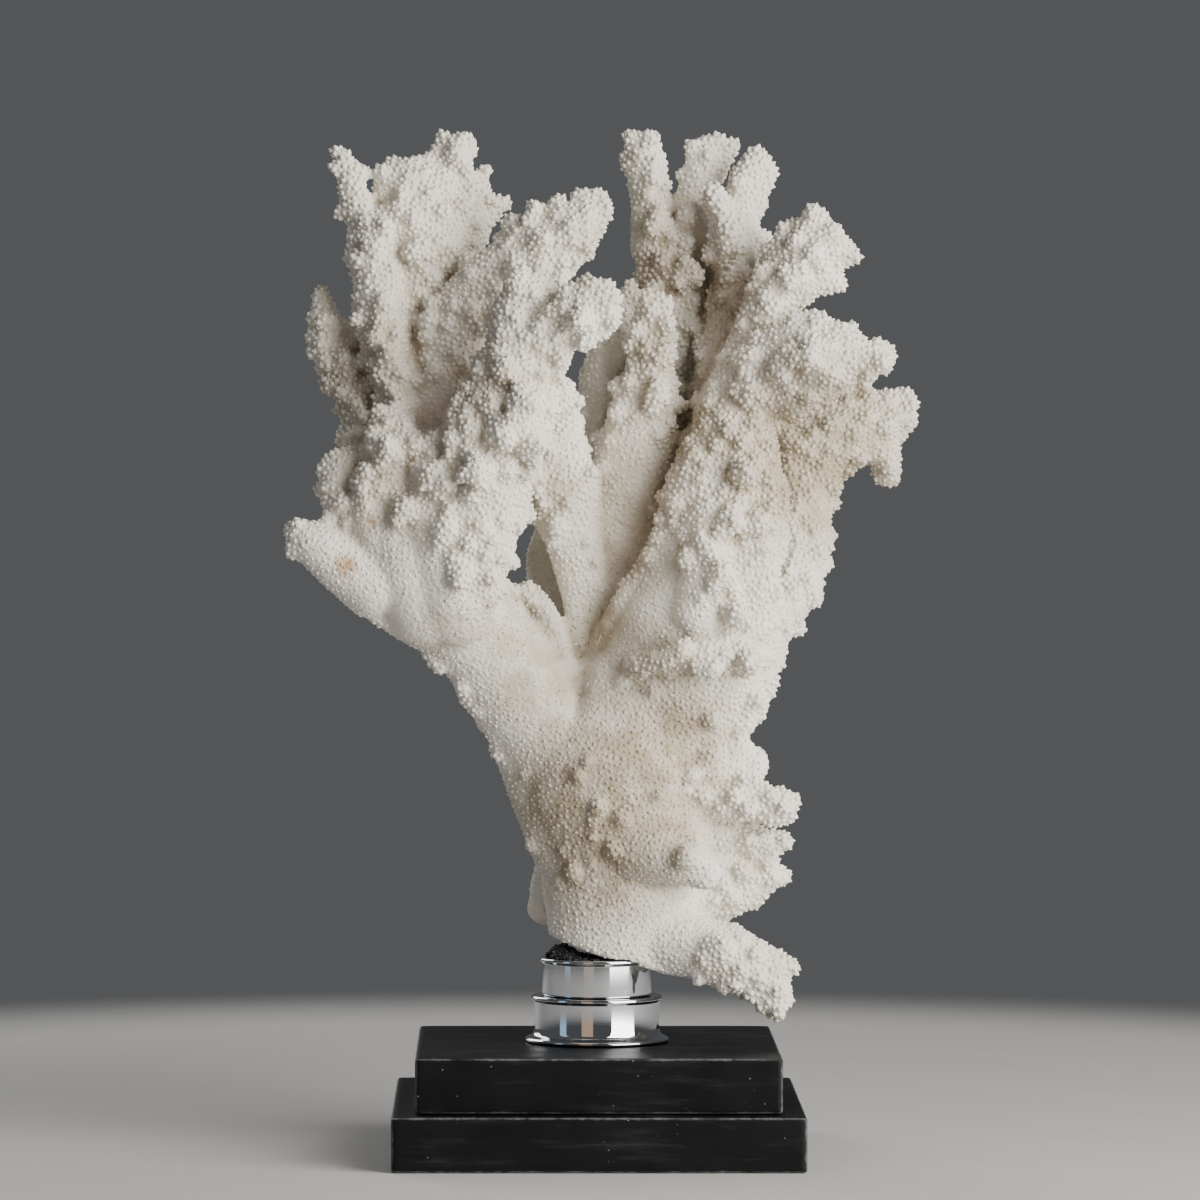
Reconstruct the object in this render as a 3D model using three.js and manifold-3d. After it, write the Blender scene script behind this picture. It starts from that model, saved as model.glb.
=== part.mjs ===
// Branching coral skeleton on a chrome collar and a two-tier black plinth.
// Units are millimetres, +Z is up, +X is to the right and -Y faces the viewer.
// The origin is the centre of the plinth's underside, on the surface it stands on.

import * as THREE from 'three';
import { mergeVertices } from 'three/addons/utils/BufferGeometryUtils.js';
import { RoundedBoxGeometry } from 'three/addons/geometries/RoundedBoxGeometry.js';
import Module from 'manifold-3d';

const wasm = await Module();
wasm.setup();

// Plinth: two square slabs of painted wood
const LOWER_SLAB_SIDE = 203;
const UPPER_SLAB_SIDE = 180;
const SLAB_HEIGHT = 27.4;
const SLAB_EDGE_RADIUS = 1.6;

// Collar: a flared foot ring with a lip, and a narrower cup that stands on it
const FOOT_RADIUS = 36;
const FOOT_THICKNESS = 2.6;
const FLARE_HEIGHT = 4.2;
const RING_RADIUS = 31.4;
const RING_HEIGHT = 23.2;
const LIP_RADIUS = 32.8;
const LIP_HEIGHT = 2.2;
const CUP_RADIUS = 27.4;
const CUP_HEIGHT = 18.6;
const CUP_RIM_RADIUS = 28.6;
const CUP_RIM_HEIGHT = 1.6;
const CUP_WALL = 1.8;
const CUP_FLOOR = 3;
const FOOT_EDGE = 0.8;
const RIM_EDGE = 0.4;
const TURNED_SIDES = 22;

// Bedding: black grit packed into the cup, heaped towards the left
const BEDDING_TOP = 5.5;
const BEDDING_HEAP = [-15, -6, 12];
const BEDDING_LUMP = 0.9;
const BEDDING_TAPER = 0.78;
const TALL = 60;

// Coral
const TOUCH_GAP = 0.3;
const CORAL_GAP = 0.4;
const FACET_LENGTH = 2.4;
const CAP_REACH = 0.85;
const SAME_PLACE = 1e-4;

// The eye that the coral's places are read from: its distance and where it stands
const EYE_DISTANCE = 3436;
const EYE = new THREE.Vector3(-43.5, -EYE_DISTANCE, 374);

// Solids: closed meshes turned into bodies that can be joined and cut

function solidOf(geometry) {
  const bare = geometry.index ? geometry.clone() : geometry;
  bare.deleteAttribute('normal');
  bare.deleteAttribute('uv');
  const merged = mergeVertices(bare, SAME_PLACE);
  const corners = merged.index.array;
  const kept = [];
  for (let i = 0; i < corners.length; i += 3) {
    const [a, b, c] = [corners[i], corners[i + 1], corners[i + 2]];
    if (a !== b && b !== c && c !== a) kept.push(a, b, c);
  }
  return new wasm.Manifold(new wasm.Mesh({
    numProp: 3,
    vertProperties: Float32Array.from(merged.attributes.position.array),
    triVerts: Uint32Array.from(kept),
  }));
}

const join = (solids) => solids.reduce((whole, next) => whole.add(next));

const cutBy = (solid, cutters) => cutters.reduce((left, cutter) => left.subtract(cutter), solid);

function largestPiece(solid) {
  const pieces = solid.decompose();
  return pieces.reduce((best, piece) => (piece.volume() > best.volume() ? piece : best));
}

function meshOf(name, solid, material) {
  const { vertProperties, triVerts } = solid.getMesh();
  const geometry = new THREE.BufferGeometry();
  geometry.setAttribute('position', new THREE.BufferAttribute(vertProperties, 3));
  geometry.setIndex(new THREE.BufferAttribute(triVerts, 1));
  geometry.computeVertexNormals();
  const mesh = new THREE.Mesh(geometry, material);
  mesh.name = name;
  return mesh;
}

// Unevenness: a number from -1 to 1 that is always the same for the same place
function unevenness(a, b, c) {
  const wave = Math.sin(a * 12.9898 + b * 78.233 + c * 37.719) * 43758.5453;
  return 2 * (wave - Math.floor(wave)) - 1;
}

// Plinth

function slab(side, bottom) {
  const geometry = new RoundedBoxGeometry(side, side, SLAB_HEIGHT, 1, SLAB_EDGE_RADIUS);
  geometry.translate(0, 0, bottom + SLAB_HEIGHT / 2);
  return solidOf(geometry);
}

const upperSlabBottom = SLAB_HEIGHT + TOUCH_GAP;
const plinthTop = upperSlabBottom + SLAB_HEIGHT;

// Collar: profiles turned about the upright axis, listed from the axis outwards and back

function turned(profile, bottom) {
  const outline = profile.map(([radius, height]) => new THREE.Vector2(radius, height));
  const geometry = new THREE.LatheGeometry(outline, TURNED_SIDES);
  geometry.rotateX(Math.PI / 2);
  geometry.translate(0, 0, bottom);
  return solidOf(geometry);
}

const ringBottom = plinthTop + TOUCH_GAP;
const cupBottom = ringBottom + RING_HEIGHT + TOUCH_GAP;
const cupTop = cupBottom + CUP_HEIGHT;

function collarRing() {
  return turned([
    [0, 0],
    [FOOT_RADIUS - RIM_EDGE, 0],
    [FOOT_RADIUS, FOOT_EDGE],
    [FOOT_RADIUS - FOOT_EDGE, FOOT_THICKNESS],
    [RING_RADIUS + 2 * FOOT_EDGE, FOOT_THICKNESS + FOOT_EDGE],
    [RING_RADIUS + RIM_EDGE, FOOT_THICKNESS + FLARE_HEIGHT * 0.5],
    [RING_RADIUS, FOOT_THICKNESS + FLARE_HEIGHT],
    [RING_RADIUS, RING_HEIGHT - LIP_HEIGHT - RIM_EDGE],
    [LIP_RADIUS, RING_HEIGHT - LIP_HEIGHT],
    [LIP_RADIUS, RING_HEIGHT - FOOT_EDGE],
    [LIP_RADIUS - FOOT_EDGE, RING_HEIGHT],
    [0, RING_HEIGHT],
  ], ringBottom);
}

function collarCup() {
  const inside = CUP_RADIUS - CUP_WALL;
  return turned([
    [0, 0],
    [CUP_RADIUS, 0],
    [CUP_RADIUS, CUP_HEIGHT - CUP_RIM_HEIGHT - 2 * RIM_EDGE],
    [CUP_RIM_RADIUS, CUP_HEIGHT - CUP_RIM_HEIGHT],
    [CUP_RIM_RADIUS, CUP_HEIGHT - RIM_EDGE],
    [CUP_RIM_RADIUS - RIM_EDGE, CUP_HEIGHT],
    [inside + RIM_EDGE, CUP_HEIGHT],
    [inside, CUP_HEIGHT - RIM_EDGE],
    [inside, CUP_FLOOR],
    [0, CUP_FLOOR],
  ], cupBottom);
}

// The room that the collar needs: what grows past the rim is carved away here
function collarRoom() {
  const radius = CUP_RIM_RADIUS + CORAL_GAP;
  return turned([
    [0, 0],
    [radius, 0],
    [radius, CUP_HEIGHT + CORAL_GAP],
    [0, CUP_HEIGHT + CORAL_GAP],
  ], cupBottom);
}

function bedding() {
  const radius = CUP_RADIUS - CUP_WALL - TOUCH_GAP;
  const bottom = cupBottom + CUP_FLOOR + TOUCH_GAP;
  const packedHeight = cupTop + BEDDING_TOP - bottom;
  const packed = new THREE.CylinderGeometry(radius * BEDDING_TAPER, radius, packedHeight, 14, 3);
  packed.rotateX(Math.PI / 2);
  packed.translate(0, 0, bottom + packedHeight / 2);
  const [across, back, heapRadius] = BEDDING_HEAP;
  const heap = new THREE.IcosahedronGeometry(heapRadius, 1);
  heap.translate(across, back, cupTop + 1);
  for (const geometry of [packed, heap]) {
    const place = geometry.attributes.position;
    for (let i = 0; i < place.count; i += 1) {
      const [x, y, z] = [place.getX(i), place.getY(i), place.getZ(i)];
      if (z < cupTop) continue;
      const lump = (salt) => BEDDING_LUMP * unevenness(Math.round(x), Math.round(y), Math.round(z) + salt);
      place.setXYZ(i, x + lump(1), y + lump(2), z + lump(3));
    }
  }
  const cupInside = turned([[0, 0], [radius, 0], [radius, TALL], [0, TALL]], bottom);
  return solidOf(packed).add(solidOf(heap)).intersect(cupInside);
}

// Coral limbs
//
// A limb is a list of places along its middle: [across, up, back, radius].
// Across and up are read on the upright plane through the plinth's middle, as seen from
// the eye. Back moves the place away along that line of sight, minus towards the viewer.

function placed([across, up, back, radius]) {
  const reach = (EYE_DISTANCE + back) / EYE_DISTANCE;
  const centre = new THREE.Vector3(across, 0, up).sub(EYE).multiplyScalar(reach).add(EYE);
  return { centre, radius: radius * reach };
}

function radiusAlong(radii, t) {
  const spot = t * (radii.length - 1);
  const index = Math.min(Math.floor(spot), radii.length - 2);
  const part = spot - index;
  const eased = part * part * (3 - 2 * part);
  return radii[index] + (radii[index + 1] - radii[index]) * (0.5 * part + 0.5 * eased);
}

// A limb's solid: a capsule bent along the limb's middle. Flat is its thickness towards
// the viewer over its width, lump is how knobbly its surface is, grow makes it fatter.
function limb(path, { sides = 6, flat = 0.88, lump = 0.1, caps = 2, facing = [0, -1, 0] }, grow = 0) {
  const spots = path.map(placed);
  const spine = new THREE.CatmullRomCurve3(spots.map((spot) => spot.centre), false, 'centripetal');
  const radii = spots.map((spot) => spot.radius);
  const middleRadius = radii.reduce((sum, radius) => sum + radius, 0) / radii.length;
  const facetWidth = 2 * Math.PI * middleRadius / sides;
  const roundness = 2 / (1 + Math.cos(Math.PI / sides));
  const rings = Math.max(1, Math.round(spine.getLength() / (facetWidth * FACET_LENGTH)));
  const geometry = new THREE.CapsuleGeometry(1, 1, caps, sides, rings);
  geometry.deleteAttribute('normal');
  geometry.deleteAttribute('uv');
  const bent = mergeVertices(geometry, SAME_PLACE);
  const place = bent.attributes.position;
  const towardViewer = new THREE.Vector3(...facing);
  for (let i = 0; i < place.count; i += 1) {
    const [x, y, z] = [place.getX(i), place.getY(i), place.getZ(i)];
    const along = Math.min(Math.max(y + 0.5, 0), 1);
    const beyond = y - Math.min(Math.max(y, -0.5), 0.5);
    const t = spine.getUtoTmapping(along);
    const tangent = spine.getTangent(t);
    const wide = new THREE.Vector3().crossVectors(towardViewer, tangent).normalize();
    const thin = new THREE.Vector3().crossVectors(wide, tangent).normalize();
    const knob = 1 + lump * unevenness(Math.round(x * 50), Math.round(z * 50), Math.round(y * 40));
    const radius = radiusAlong(radii, t) * roundness * knob;
    const spot = spine.getPoint(t)
      .addScaledVector(tangent, beyond * (radius * CAP_REACH + grow))
      .addScaledVector(wide, x * (radius + grow))
      .addScaledVector(thin, z * (radius * flat + grow));
    place.setXYZ(i, spot.x, spot.y, spot.z);
  }
  return solidOf(bent);
}

const CORAL = {};

// Trunk: broad and flattened, with a heel, a front lobe and a left shoulder for the arm
CORAL.coral_trunk = [
  [[[13, 84, 0, 36], [14, 110, 0, 39], [15, 130, 0, 43], [16, 150, 0, 46], [15, 176, 0, 54],
    [13, 198, -2, 56], [22, 222, -6, 44]], { sides: 12, flat: 0.68, lump: 0.035 }],
  [[[-12, 152, 10, 17], [-22, 130, 13, 13], [-27, 121, 13, 9]], { sides: 6, caps: 1, lump: 0.05 }],
  [[[20, 150, -24, 16], [42, 146, -32, 14], [55, 139, -36, 9]], { sides: 6, lump: 0.08 }],
  [[[-4, 156, 0, 30], [-17, 184, -2, 28], [-29, 207, -4, 25]],
    { sides: 8, caps: 1, flat: 0.75, lump: 0.03 }],
  [[[58, 196, -14, 18], [78, 194, -16, 10]], { sides: 6, caps: 1, lump: 0.12 }],
  [[[60, 226, -16, 18], [79, 226, -18, 9]], { sides: 6, caps: 1, lump: 0.12 }],
];

// Upper side prong: the longest of the short fingers low on the right
CORAL.coral_upper_side_prong = [
  [[[46, 181, -14, 17], [64, 176, -20, 12], [81, 175, -24, 10.5], [95, 172, -26, 8]], { lump: 0.14 }],
];

// Lower side prongs: short fingers below it, grown together at their roots
CORAL.coral_lower_side_prongs = [
  [[[46, 162, -6, 15], [62, 159, -8, 10], [81, 156, -8, 8], [93, 156, -8, 6]],
    { sides: 6, caps: 1, lump: 0.14 }],
  [[[42, 146, -4, 17], [64, 141, -4, 14], [85, 140, -4, 10]], { lump: 0.13 }],
  [[[46, 131, -2, 18], [66, 130, -2, 14], [81, 133, -2, 9]], { sides: 6, caps: 1, lump: 0.13 }],
];

// Base prong: points down to the right, past the collar
CORAL.coral_base_prong = [
  [[[16, 112, -6, 18], [36, 106, -12, 18], [52, 102, -18, 17], [69, 95, -22, 17.5],
    [82, 86, -24, 13], [88, 76, -25, 8.5]], { sides: 7, lump: 0.12 }],
  [[[74, 96, -22, 12], [91, 94, -24, 8]], { sides: 6, caps: 1, lump: 0.14 }],
];

// Left palm: the arm that leaves the trunk, its smooth web, three ridges and the thumb
CORAL.coral_left_palm = [
  [[[4, 194, -4, 30], [-16, 208, -8, 30], [-34, 226, -12, 28], [-57, 256, -22, 26],
    [-75, 272, -30, 26], [-88, 284, -36, 25]], { sides: 9, flat: 0.8, lump: 0.03 }],
  [[[-37, 266, -6, 16], [-27, 243, -8, 18], [-17, 219, -8, 17]], { sides: 8, flat: 0.6, lump: 0.02 }],
  [[[-128, 343, -32, 12], [-125, 326, -36, 14], [-114, 306, -38, 17], [-98, 290, -36, 18]],
    { lump: 0.09 }],
  [[[-116, 337, -48, 9], [-112, 318, -50, 11], [-104, 300, -46, 13]], { sides: 6, caps: 1, lump: 0.09 }],
  [[[-104, 361, -38, 13], [-101, 336, -42, 18], [-95, 301, -44, 21], [-84, 271, -40, 21]],
    { lump: 0.08 }],
  [[[-84, 347, -48, 14], [-80, 316, -52, 18], [-72, 276, -46, 20]], { lump: 0.08 }],
  [[[-151, 310, -46, 8.5], [-146, 307, -46, 11.5], [-138, 302, -46, 13.5], [-127, 295, -44, 16],
    [-110, 286, -40, 20]], { sides: 7, lump: 0.06 }],
];

// Left front finger: broad, close to the viewer, forking into an upright and a side finger
CORAL.coral_left_front_finger = [
  [[[-73, 271, -44, 22], [-65, 306, -50, 25], [-57, 341, -54, 26], [-47, 369, -56, 26],
    [-42, 391, -58, 21], [-38, 407, -60, 15]], { sides: 8, flat: 0.78, lump: 0.09 }],
  [[[-44, 408, -58, 11], [-41, 424, -60, 10], [-37, 434, -60, 9]], { lump: 0.14 }],
  [[[-36, 426, -58, 8], [-25, 432, -58, 7]], { sides: 5, caps: 1, lump: 0.14 }],
  [[[-36, 398, -58, 15], [-19, 412, -64, 14], [-5, 419, -68, 16], [3, 417, -70, 11]],
    { sides: 7, flat: 0.72, lump: 0.14 }],
  [[[-8, 428, -66, 8], [-5, 436, -66, 5]], { sides: 5, caps: 1, lump: 0.1 }],
  [[[1, 426, -70, 8], [5, 433, -70, 5]], { sides: 5, caps: 1, lump: 0.1 }],
  [[[-34, 374, -54, 16], [-19, 377, -54, 10]], { sides: 6, caps: 1, lump: 0.14 }],
  [[[-34, 396, -58, 14], [-20, 397, -58, 9]], { sides: 6, caps: 1, lump: 0.14 }],
];

// Left outer finger: slender, behind the palm, leaning outwards
CORAL.coral_left_outer_finger = [
  [[[-139, 429, 6, 4.5], [-136.5, 420, 6, 8], [-135, 409, 4, 11], [-127, 395, 2, 12],
    [-120, 380, -2, 12], [-117, 362, -8, 11], [-111, 344, -16, 11], [-102, 318, -26, 13]],
    { sides: 6, lump: 0.12 }],
];

// Left fan: a tall flattened frond with a pointed outer finger and knobs along its top
CORAL.coral_left_fan = [
  [[[-98, 486, -4, 13], [-91, 466, -4, 20], [-93, 441, -4, 22], [-92, 416, -4, 22], [-87, 386, -8, 21],
    [-84, 356, -14, 19], [-80, 320, -24, 18]], { sides: 9, flat: 0.7, lump: 0.09 }],
  [[[-94, 482, -2, 14], [-79, 482, 2, 13]], { sides: 6, caps: 1, lump: 0.1 }],
  [[[-111, 460, -14, 12], [-109, 436, -16, 14], [-106, 411, -17, 13.5], [-101, 386, -18, 12],
    [-95, 356, -20, 12]], { sides: 6, lump: 0.12 }],
  [[[-127, 498, -10, 5], [-124, 487, -10, 7.5], [-120, 474, -10, 9], [-113, 454, -10, 11]],
    { sides: 6, caps: 1, lump: 0.1 }],
  [[[-72, 500, 6, 9.5], [-71, 486, 6, 10.5], [-74, 464, 4, 14], [-80, 434, 0, 15]],
    { sides: 6, lump: 0.12 }],
  [[[-76, 500, 6, 6], [-78, 508, 6, 4.5]], { sides: 5, caps: 1, lump: 0.05 }],
  [[[-68, 498, 6, 6], [-66, 506, 6, 5]], { sides: 5, caps: 1, lump: 0.05 }],
  [[[-57.5, 489, 12, 4.5], [-59.5, 478, 12, 6], [-64, 459, 8, 9], [-71, 441, 4, 11]],
    { sides: 6, caps: 1, lump: 0.12 }],
  [[[-49.5, 475, 16, 5], [-57.5, 466, 14, 7], [-66, 452, 8, 9]], { sides: 5, caps: 1, lump: 0.1 }],
];

// Left comb: a limb that bends over to the right and carries a row of small fingers
CORAL.coral_left_comb = [
  [[[-78, 358, -16, 17], [-75, 392, -16, 18], [-65, 422, -20, 17], [-46, 441, -24, 16],
    [-27, 452, -28, 18], [-11, 463, -30, 15], [-1, 471, -30, 9]], { sides: 7, flat: 0.75, lump: 0.1 }],
  [[[-43, 450, -26, 7], [-42, 467, -28, 4.5]], { sides: 5, caps: 1, lump: 0.1 }],
  [[[-33, 455, -28, 7], [-32, 472, -30, 5]], { sides: 5, caps: 1, lump: 0.1 }],
  [[[-19, 464, -30, 8], [-20, 474, -30, 6]], { sides: 5, caps: 1, lump: 0.1 }],
  [[[-8, 470, -30, 8], [-6, 478, -30, 6]], { sides: 5, caps: 1, lump: 0.1 }],
  [[[-15, 457, -30, 9], [-6, 451, -30, 6]], { sides: 5, caps: 1, lump: 0.1 }],
  [[[-26, 450, -28, 9], [-13, 446, -28, 6]], { sides: 5, caps: 1, lump: 0.1 }],
];

// Middle left finger: a leaf shape that hides its tip behind the front finger
CORAL.coral_middle_left_finger = [
  [[[-18, 372, -20, 10], [-19, 354, -20, 15], [-18, 331, -20, 20], [-12, 306, -18, 14.5],
    [-5, 281, -12, 14], [0, 256, -8, 15], [8, 228, -4, 17]], { sides: 8, flat: 0.7, lump: 0.06 }],
];

// Middle finger: tall and smooth, with a knobbly tip
CORAL.coral_middle_finger = [
  [[[27, 426, -14, 6], [27, 416, -14, 11], [26, 391, -12, 13.5], [21.5, 366, -8, 18], [17, 336, -6, 21],
    [14, 306, -4, 21], [8, 276, -2, 19], [6, 240, 0, 20]], { sides: 8, flat: 0.75, lump: 0.06 }],
];

// Middle rear finger: in the shade behind the middle finger
CORAL.coral_middle_rear_finger = [
  [[[16.5, 430, 14, 5.5], [10.5, 416, 14, 10.5], [4.5, 396, 14, 11.5], [2.5, 376, 14, 11.5],
    [2.5, 351, 14, 11], [5, 321, 14, 12], [8, 280, 10, 14]], { sides: 6, lump: 0.07 }],
];

// Rear left finger: smooth and thin, seen through the gap beside the web
CORAL.coral_rear_left_finger = [
  [[[-6, 391, 50, 4], [-4, 381, 50, 6.5], [-6.5, 366, 50, 7.5], [-12.5, 341, 48, 9], [-20.5, 314, 46, 10],
    [-24.5, 296, 44, 12], [-18.5, 266, 38, 14], [-7, 236, 26, 16], [4, 212, 14, 18]],
    { sides: 6, lump: 0.04 }],
];

// Tall fingers: the highest pair, on one broad stem
CORAL.coral_tall_fingers = [
  [[[35, 456, 30, 16], [38, 442, 30, 21], [37.5, 424, 30, 24], [34, 404, 28, 20], [30.5, 381, 26, 18],
    [27.5, 358, 24, 16.5], [21.5, 328, 20, 17], [14, 292, 16, 17], [12, 250, 10, 18]],
    { sides: 8, flat: 0.7, lump: 0.08 }],
  [[[22.5, 504, 30, 9.5], [24, 494, 30, 12], [25.5, 476, 30, 10], [28, 452, 30, 12]],
    { sides: 6, lump: 0.1 }],
  [[[58, 504, 38, 6.5], [53.5, 491, 36, 10], [47.5, 476, 34, 10], [45, 456, 32, 13]],
    { sides: 6, lump: 0.1 }],
  [[[50, 490, 34, 7], [46.5, 504, 34, 4.5]], { sides: 5, caps: 1, lump: 0.1 }],
  [[[58, 492, 38, 7], [68, 504, 38, 4.5]], { sides: 5, caps: 1, lump: 0.1 }],
];

// Right middle fingers: a stem in the shade, a bright thumb and a knobbly head beside it
CORAL.coral_right_middle_fingers = [
  [[[58.5, 481, 8, 5], [61.5, 472, 8, 8.5], [67, 461, 8, 13], [70, 446, 8, 13], [71.5, 431, 8, 14],
    [67.5, 411, 10, 15], [62.5, 391, 10, 14.5], [57.5, 371, 8, 14], [52, 351, 6, 14], [46, 326, 2, 15],
    [38, 294, -2, 16], [28, 256, -4, 18]], { sides: 7, lump: 0.07 }],
  [[[80, 498, 18, 7], [75, 488, 18, 10], [72, 476, 18, 9.5], [71, 458, 14, 10]],
    { sides: 6, lump: 0.14 }],
  [[[76, 489, 18, 8], [84, 493, 18, 6]], { sides: 5, caps: 1, lump: 0.1 }],
  [[[72, 474, 16, 8], [80, 473, 18, 6.5]], { sides: 5, caps: 1, lump: 0.1 }],
  [[[74, 458, 16, 8], [84, 457, 20, 5]], { sides: 5, caps: 1, lump: 0.1 }],
  [[[72, 439, -2, 8], [71, 432, 0, 8]], { sides: 5, caps: 1, lump: 0.1 }],
];

// Right upper finger: leans right and ends in a spray of tips
CORAL.coral_right_upper_finger = [
  [[[50, 340, -4, 14], [61, 366, -10, 14], [73, 391, -14, 15], [82, 411, -18, 15.5], [89, 429, -22, 15.5],
    [99, 445, -24, 15], [105, 456, -24, 10]], { sides: 7, flat: 0.8, lump: 0.09 }],
  [[[104, 455, -24, 9], [109, 470, -24, 6]], { sides: 6, caps: 1, lump: 0.12 }],
  [[[106, 447, -26, 11], [119, 453, -28, 9], [126, 449, -28, 6.5]], { sides: 6, caps: 1, lump: 0.12 }],
  [[[92, 450, -20, 8], [93, 463, -20, 4.5]], { sides: 5, caps: 1, lump: 0.1 }],
  [[[99, 453, -16, 8], [101, 465, -14, 4.5]], { sides: 5, caps: 1, lump: 0.1 }],
  [[[102, 438, -26, 12], [115, 436, -28, 8.5]], { sides: 6, caps: 1, lump: 0.12 }],
];

// Right side finger: thick and knobbly, pointing right
CORAL.coral_right_side_finger = [
  [[[50, 326, -10, 15], [58, 350, -14, 16], [70, 376, -22, 19], [86, 388, -30, 23], [104, 396, -38, 24],
    [121, 399, -44, 17], [136, 396, -48, 10], [144, 395, -48, 6]],
    { sides: 8, flat: 0.78, lump: 0.12 }],
  [[[96, 386, -38, 14], [101, 374, -40, 9]], { sides: 6, caps: 1, lump: 0.14 }],
  [[[108, 408, -40, 12], [110, 417, -40, 7]], { sides: 6, caps: 1, lump: 0.14 }],
  [[[110, 392, -50, 12], [116, 390, -56, 8]], { sides: 6, caps: 1, lump: 0.14 }],
];

// Front ridge: the largest limb, bright, with a smooth left face and a ledge at its foot
CORAL.coral_front_ridge = [
  [[[74, 371, -30, 17], [69, 356, -32, 24], [63.5, 331, -34, 31], [59.5, 306, -34, 33], [53, 281, -30, 35],
    [44, 251, -21, 40], [30, 214, -6, 44]], { sides: 10, flat: 0.6, lump: 0.07 }],
  [[[82, 345, -38, 10], [85, 320, -40, 11], [80, 290, -40, 12], [78, 268, -34, 12]],
    { sides: 6, caps: 1, lump: 0.16 }],
  [[[56, 318, -50, 12], [54, 292, -50, 13], [50, 270, -46, 13]], { sides: 6, caps: 1, lump: 0.14 }],
  [[[18, 243, -38, 6], [36, 247, -44, 8], [54, 249, -48, 10], [70, 252, -40, 12]],
    { sides: 6, caps: 1, lump: 0.12 }],
];

// Rear right limb: a stalk behind the front ridge that opens into a hand of fingers
CORAL.coral_rear_right_limb = [
  [[[42, 208, 6, 20], [58, 230, 20, 17], [75, 251, 40, 15], [87, 268, 54, 15], [98, 288, 66, 16],
    [101, 308, 74, 16.5], [102, 332, 80, 17], [110, 353, 86, 19], [126, 361, 90, 20], [141, 366, 92, 16],
    [153, 371, 92, 8]], { sides: 7, flat: 0.8, lump: 0.1 }],
  [[[138, 358, 90, 11], [144, 345, 92, 8.5], [146, 338, 92, 6.5]], { sides: 6, caps: 1, lump: 0.12 }],
  [[[148, 374, 92, 7], [155, 380, 92, 4.5]], { sides: 5, caps: 1, lump: 0.1 }],
  [[[149, 368, 94, 7], [158, 366, 96, 5]], { sides: 5, caps: 1, lump: 0.1 }],
  [[[112, 360, 88, 14], [124, 382, 96, 12], [134, 394, 100, 9], [140, 402, 102, 6]],
    { sides: 6, caps: 1, lump: 0.12 }],
  [[[124, 384, 96, 10], [125, 402, 98, 7], [127, 410, 98, 5]], { sides: 5, caps: 1, lump: 0.12 }],
  [[[104, 352, 84, 14], [94, 370, 88, 11], [90, 380, 90, 8]], { sides: 6, caps: 1, lump: 0.12 }],
  [[[72, 246, 34, 11], [86, 236, 38, 7]], { sides: 5, caps: 1, lump: 0.12 }],
];

// Rear fan fingers: two fingers behind the left fan
CORAL.coral_rear_fan_fingers = [
  [[[-50, 246, -6, 17], [-62, 276, 12, 14], [-74, 306, 28, 14], [-82, 340, 40, 15], [-87, 376, 50, 15],
    [-86, 410, 56, 13], [-82, 436, 58, 9]], { sides: 7, lump: 0.1 }],
  [[[-88, 380, 52, 10], [-100, 400, 66, 9], [-104, 418, 72, 6]], { sides: 5, caps: 1, lump: 0.12 }],
  [[[-78, 322, 36, 12], [-72, 344, 60, 11], [-68, 358, 72, 8]], { sides: 6, caps: 1, lump: 0.12 }],
  [[[-86, 404, 56, 9], [-92, 424, 52, 7]], { sides: 5, caps: 1, lump: 0.12 }],
];

// Rear crown finger: stands behind the tall fingers and forks near its top
CORAL.coral_rear_crown_finger = [
  [[[24, 222, 16, 19], [38, 262, 34, 17], [52, 304, 50, 15], [62, 342, 62, 14], [64, 372, 70, 14],
    [60, 402, 78, 14], [56, 430, 82, 11], [54, 446, 84, 7]], { sides: 7, lump: 0.1 }],
  [[[62, 388, 78, 10], [68, 410, 96, 9], [70, 424, 104, 6]], { sides: 5, caps: 1, lump: 0.12 }],
  [[[56, 410, 84, 9], [44, 428, 96, 8], [40, 438, 102, 6]], { sides: 5, caps: 1, lump: 0.12 }],
  [[[56, 318, 56, 11], [60, 326, 80, 9], [62, 336, 92, 6]], { sides: 5, caps: 1, lump: 0.12 }],
];

// Rear prongs: short fingers at the back of the trunk
CORAL.coral_rear_prongs = [
  [[[12, 176, 20, 18], [4, 186, 46, 14], [0, 197, 64, 10], [-2, 204, 74, 7]],
    { sides: 6, lump: 0.12, facing: [1, 0, 0] }],
  [[[24, 156, 20, 16], [36, 152, 44, 12], [42, 154, 60, 8]],
    { sides: 6, caps: 1, lump: 0.12, facing: [0, 0, 1] }],
  [[[4, 184, 40, 10], [-12, 192, 58, 8], [-16, 198, 66, 6]],
    { sides: 5, caps: 1, lump: 0.12, facing: [0, 0, 1] }],
  [[[2, 140, 20, 14], [-2, 132, 38, 10]], { sides: 6, caps: 1, lump: 0.12, facing: [0, 0, 1] }],
];

// Underside of the trunk, where the coral was broken off: across and up, seen from the front
const UNDERSIDE = [
  [-60, 128], [-36, 117], [-25, 109], [-14, 104], [1, 99.5], [29, 95], [46, 89], [60, 84],
];
const UNDERSIDE_DEPTH = 160;
const UNDERSIDE_BOTTOM = 30;

function groundUnderCoral(lowered) {
  const [firstAcross] = UNDERSIDE[0];
  const [lastAcross] = UNDERSIDE[UNDERSIDE.length - 1];
  const shape = new THREE.Shape([
    new THREE.Vector2(firstAcross, UNDERSIDE_BOTTOM),
    new THREE.Vector2(lastAcross, UNDERSIDE_BOTTOM),
    ...UNDERSIDE.toReversed().map(([across, up]) => new THREE.Vector2(across, up)),
  ]);
  const geometry = new THREE.ExtrudeGeometry(shape, { depth: UNDERSIDE_DEPTH, bevelEnabled: false });
  geometry.rotateX(Math.PI / 2);
  geometry.translate(0, UNDERSIDE_DEPTH / 2, -lowered);
  return solidOf(geometry);
}

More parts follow.
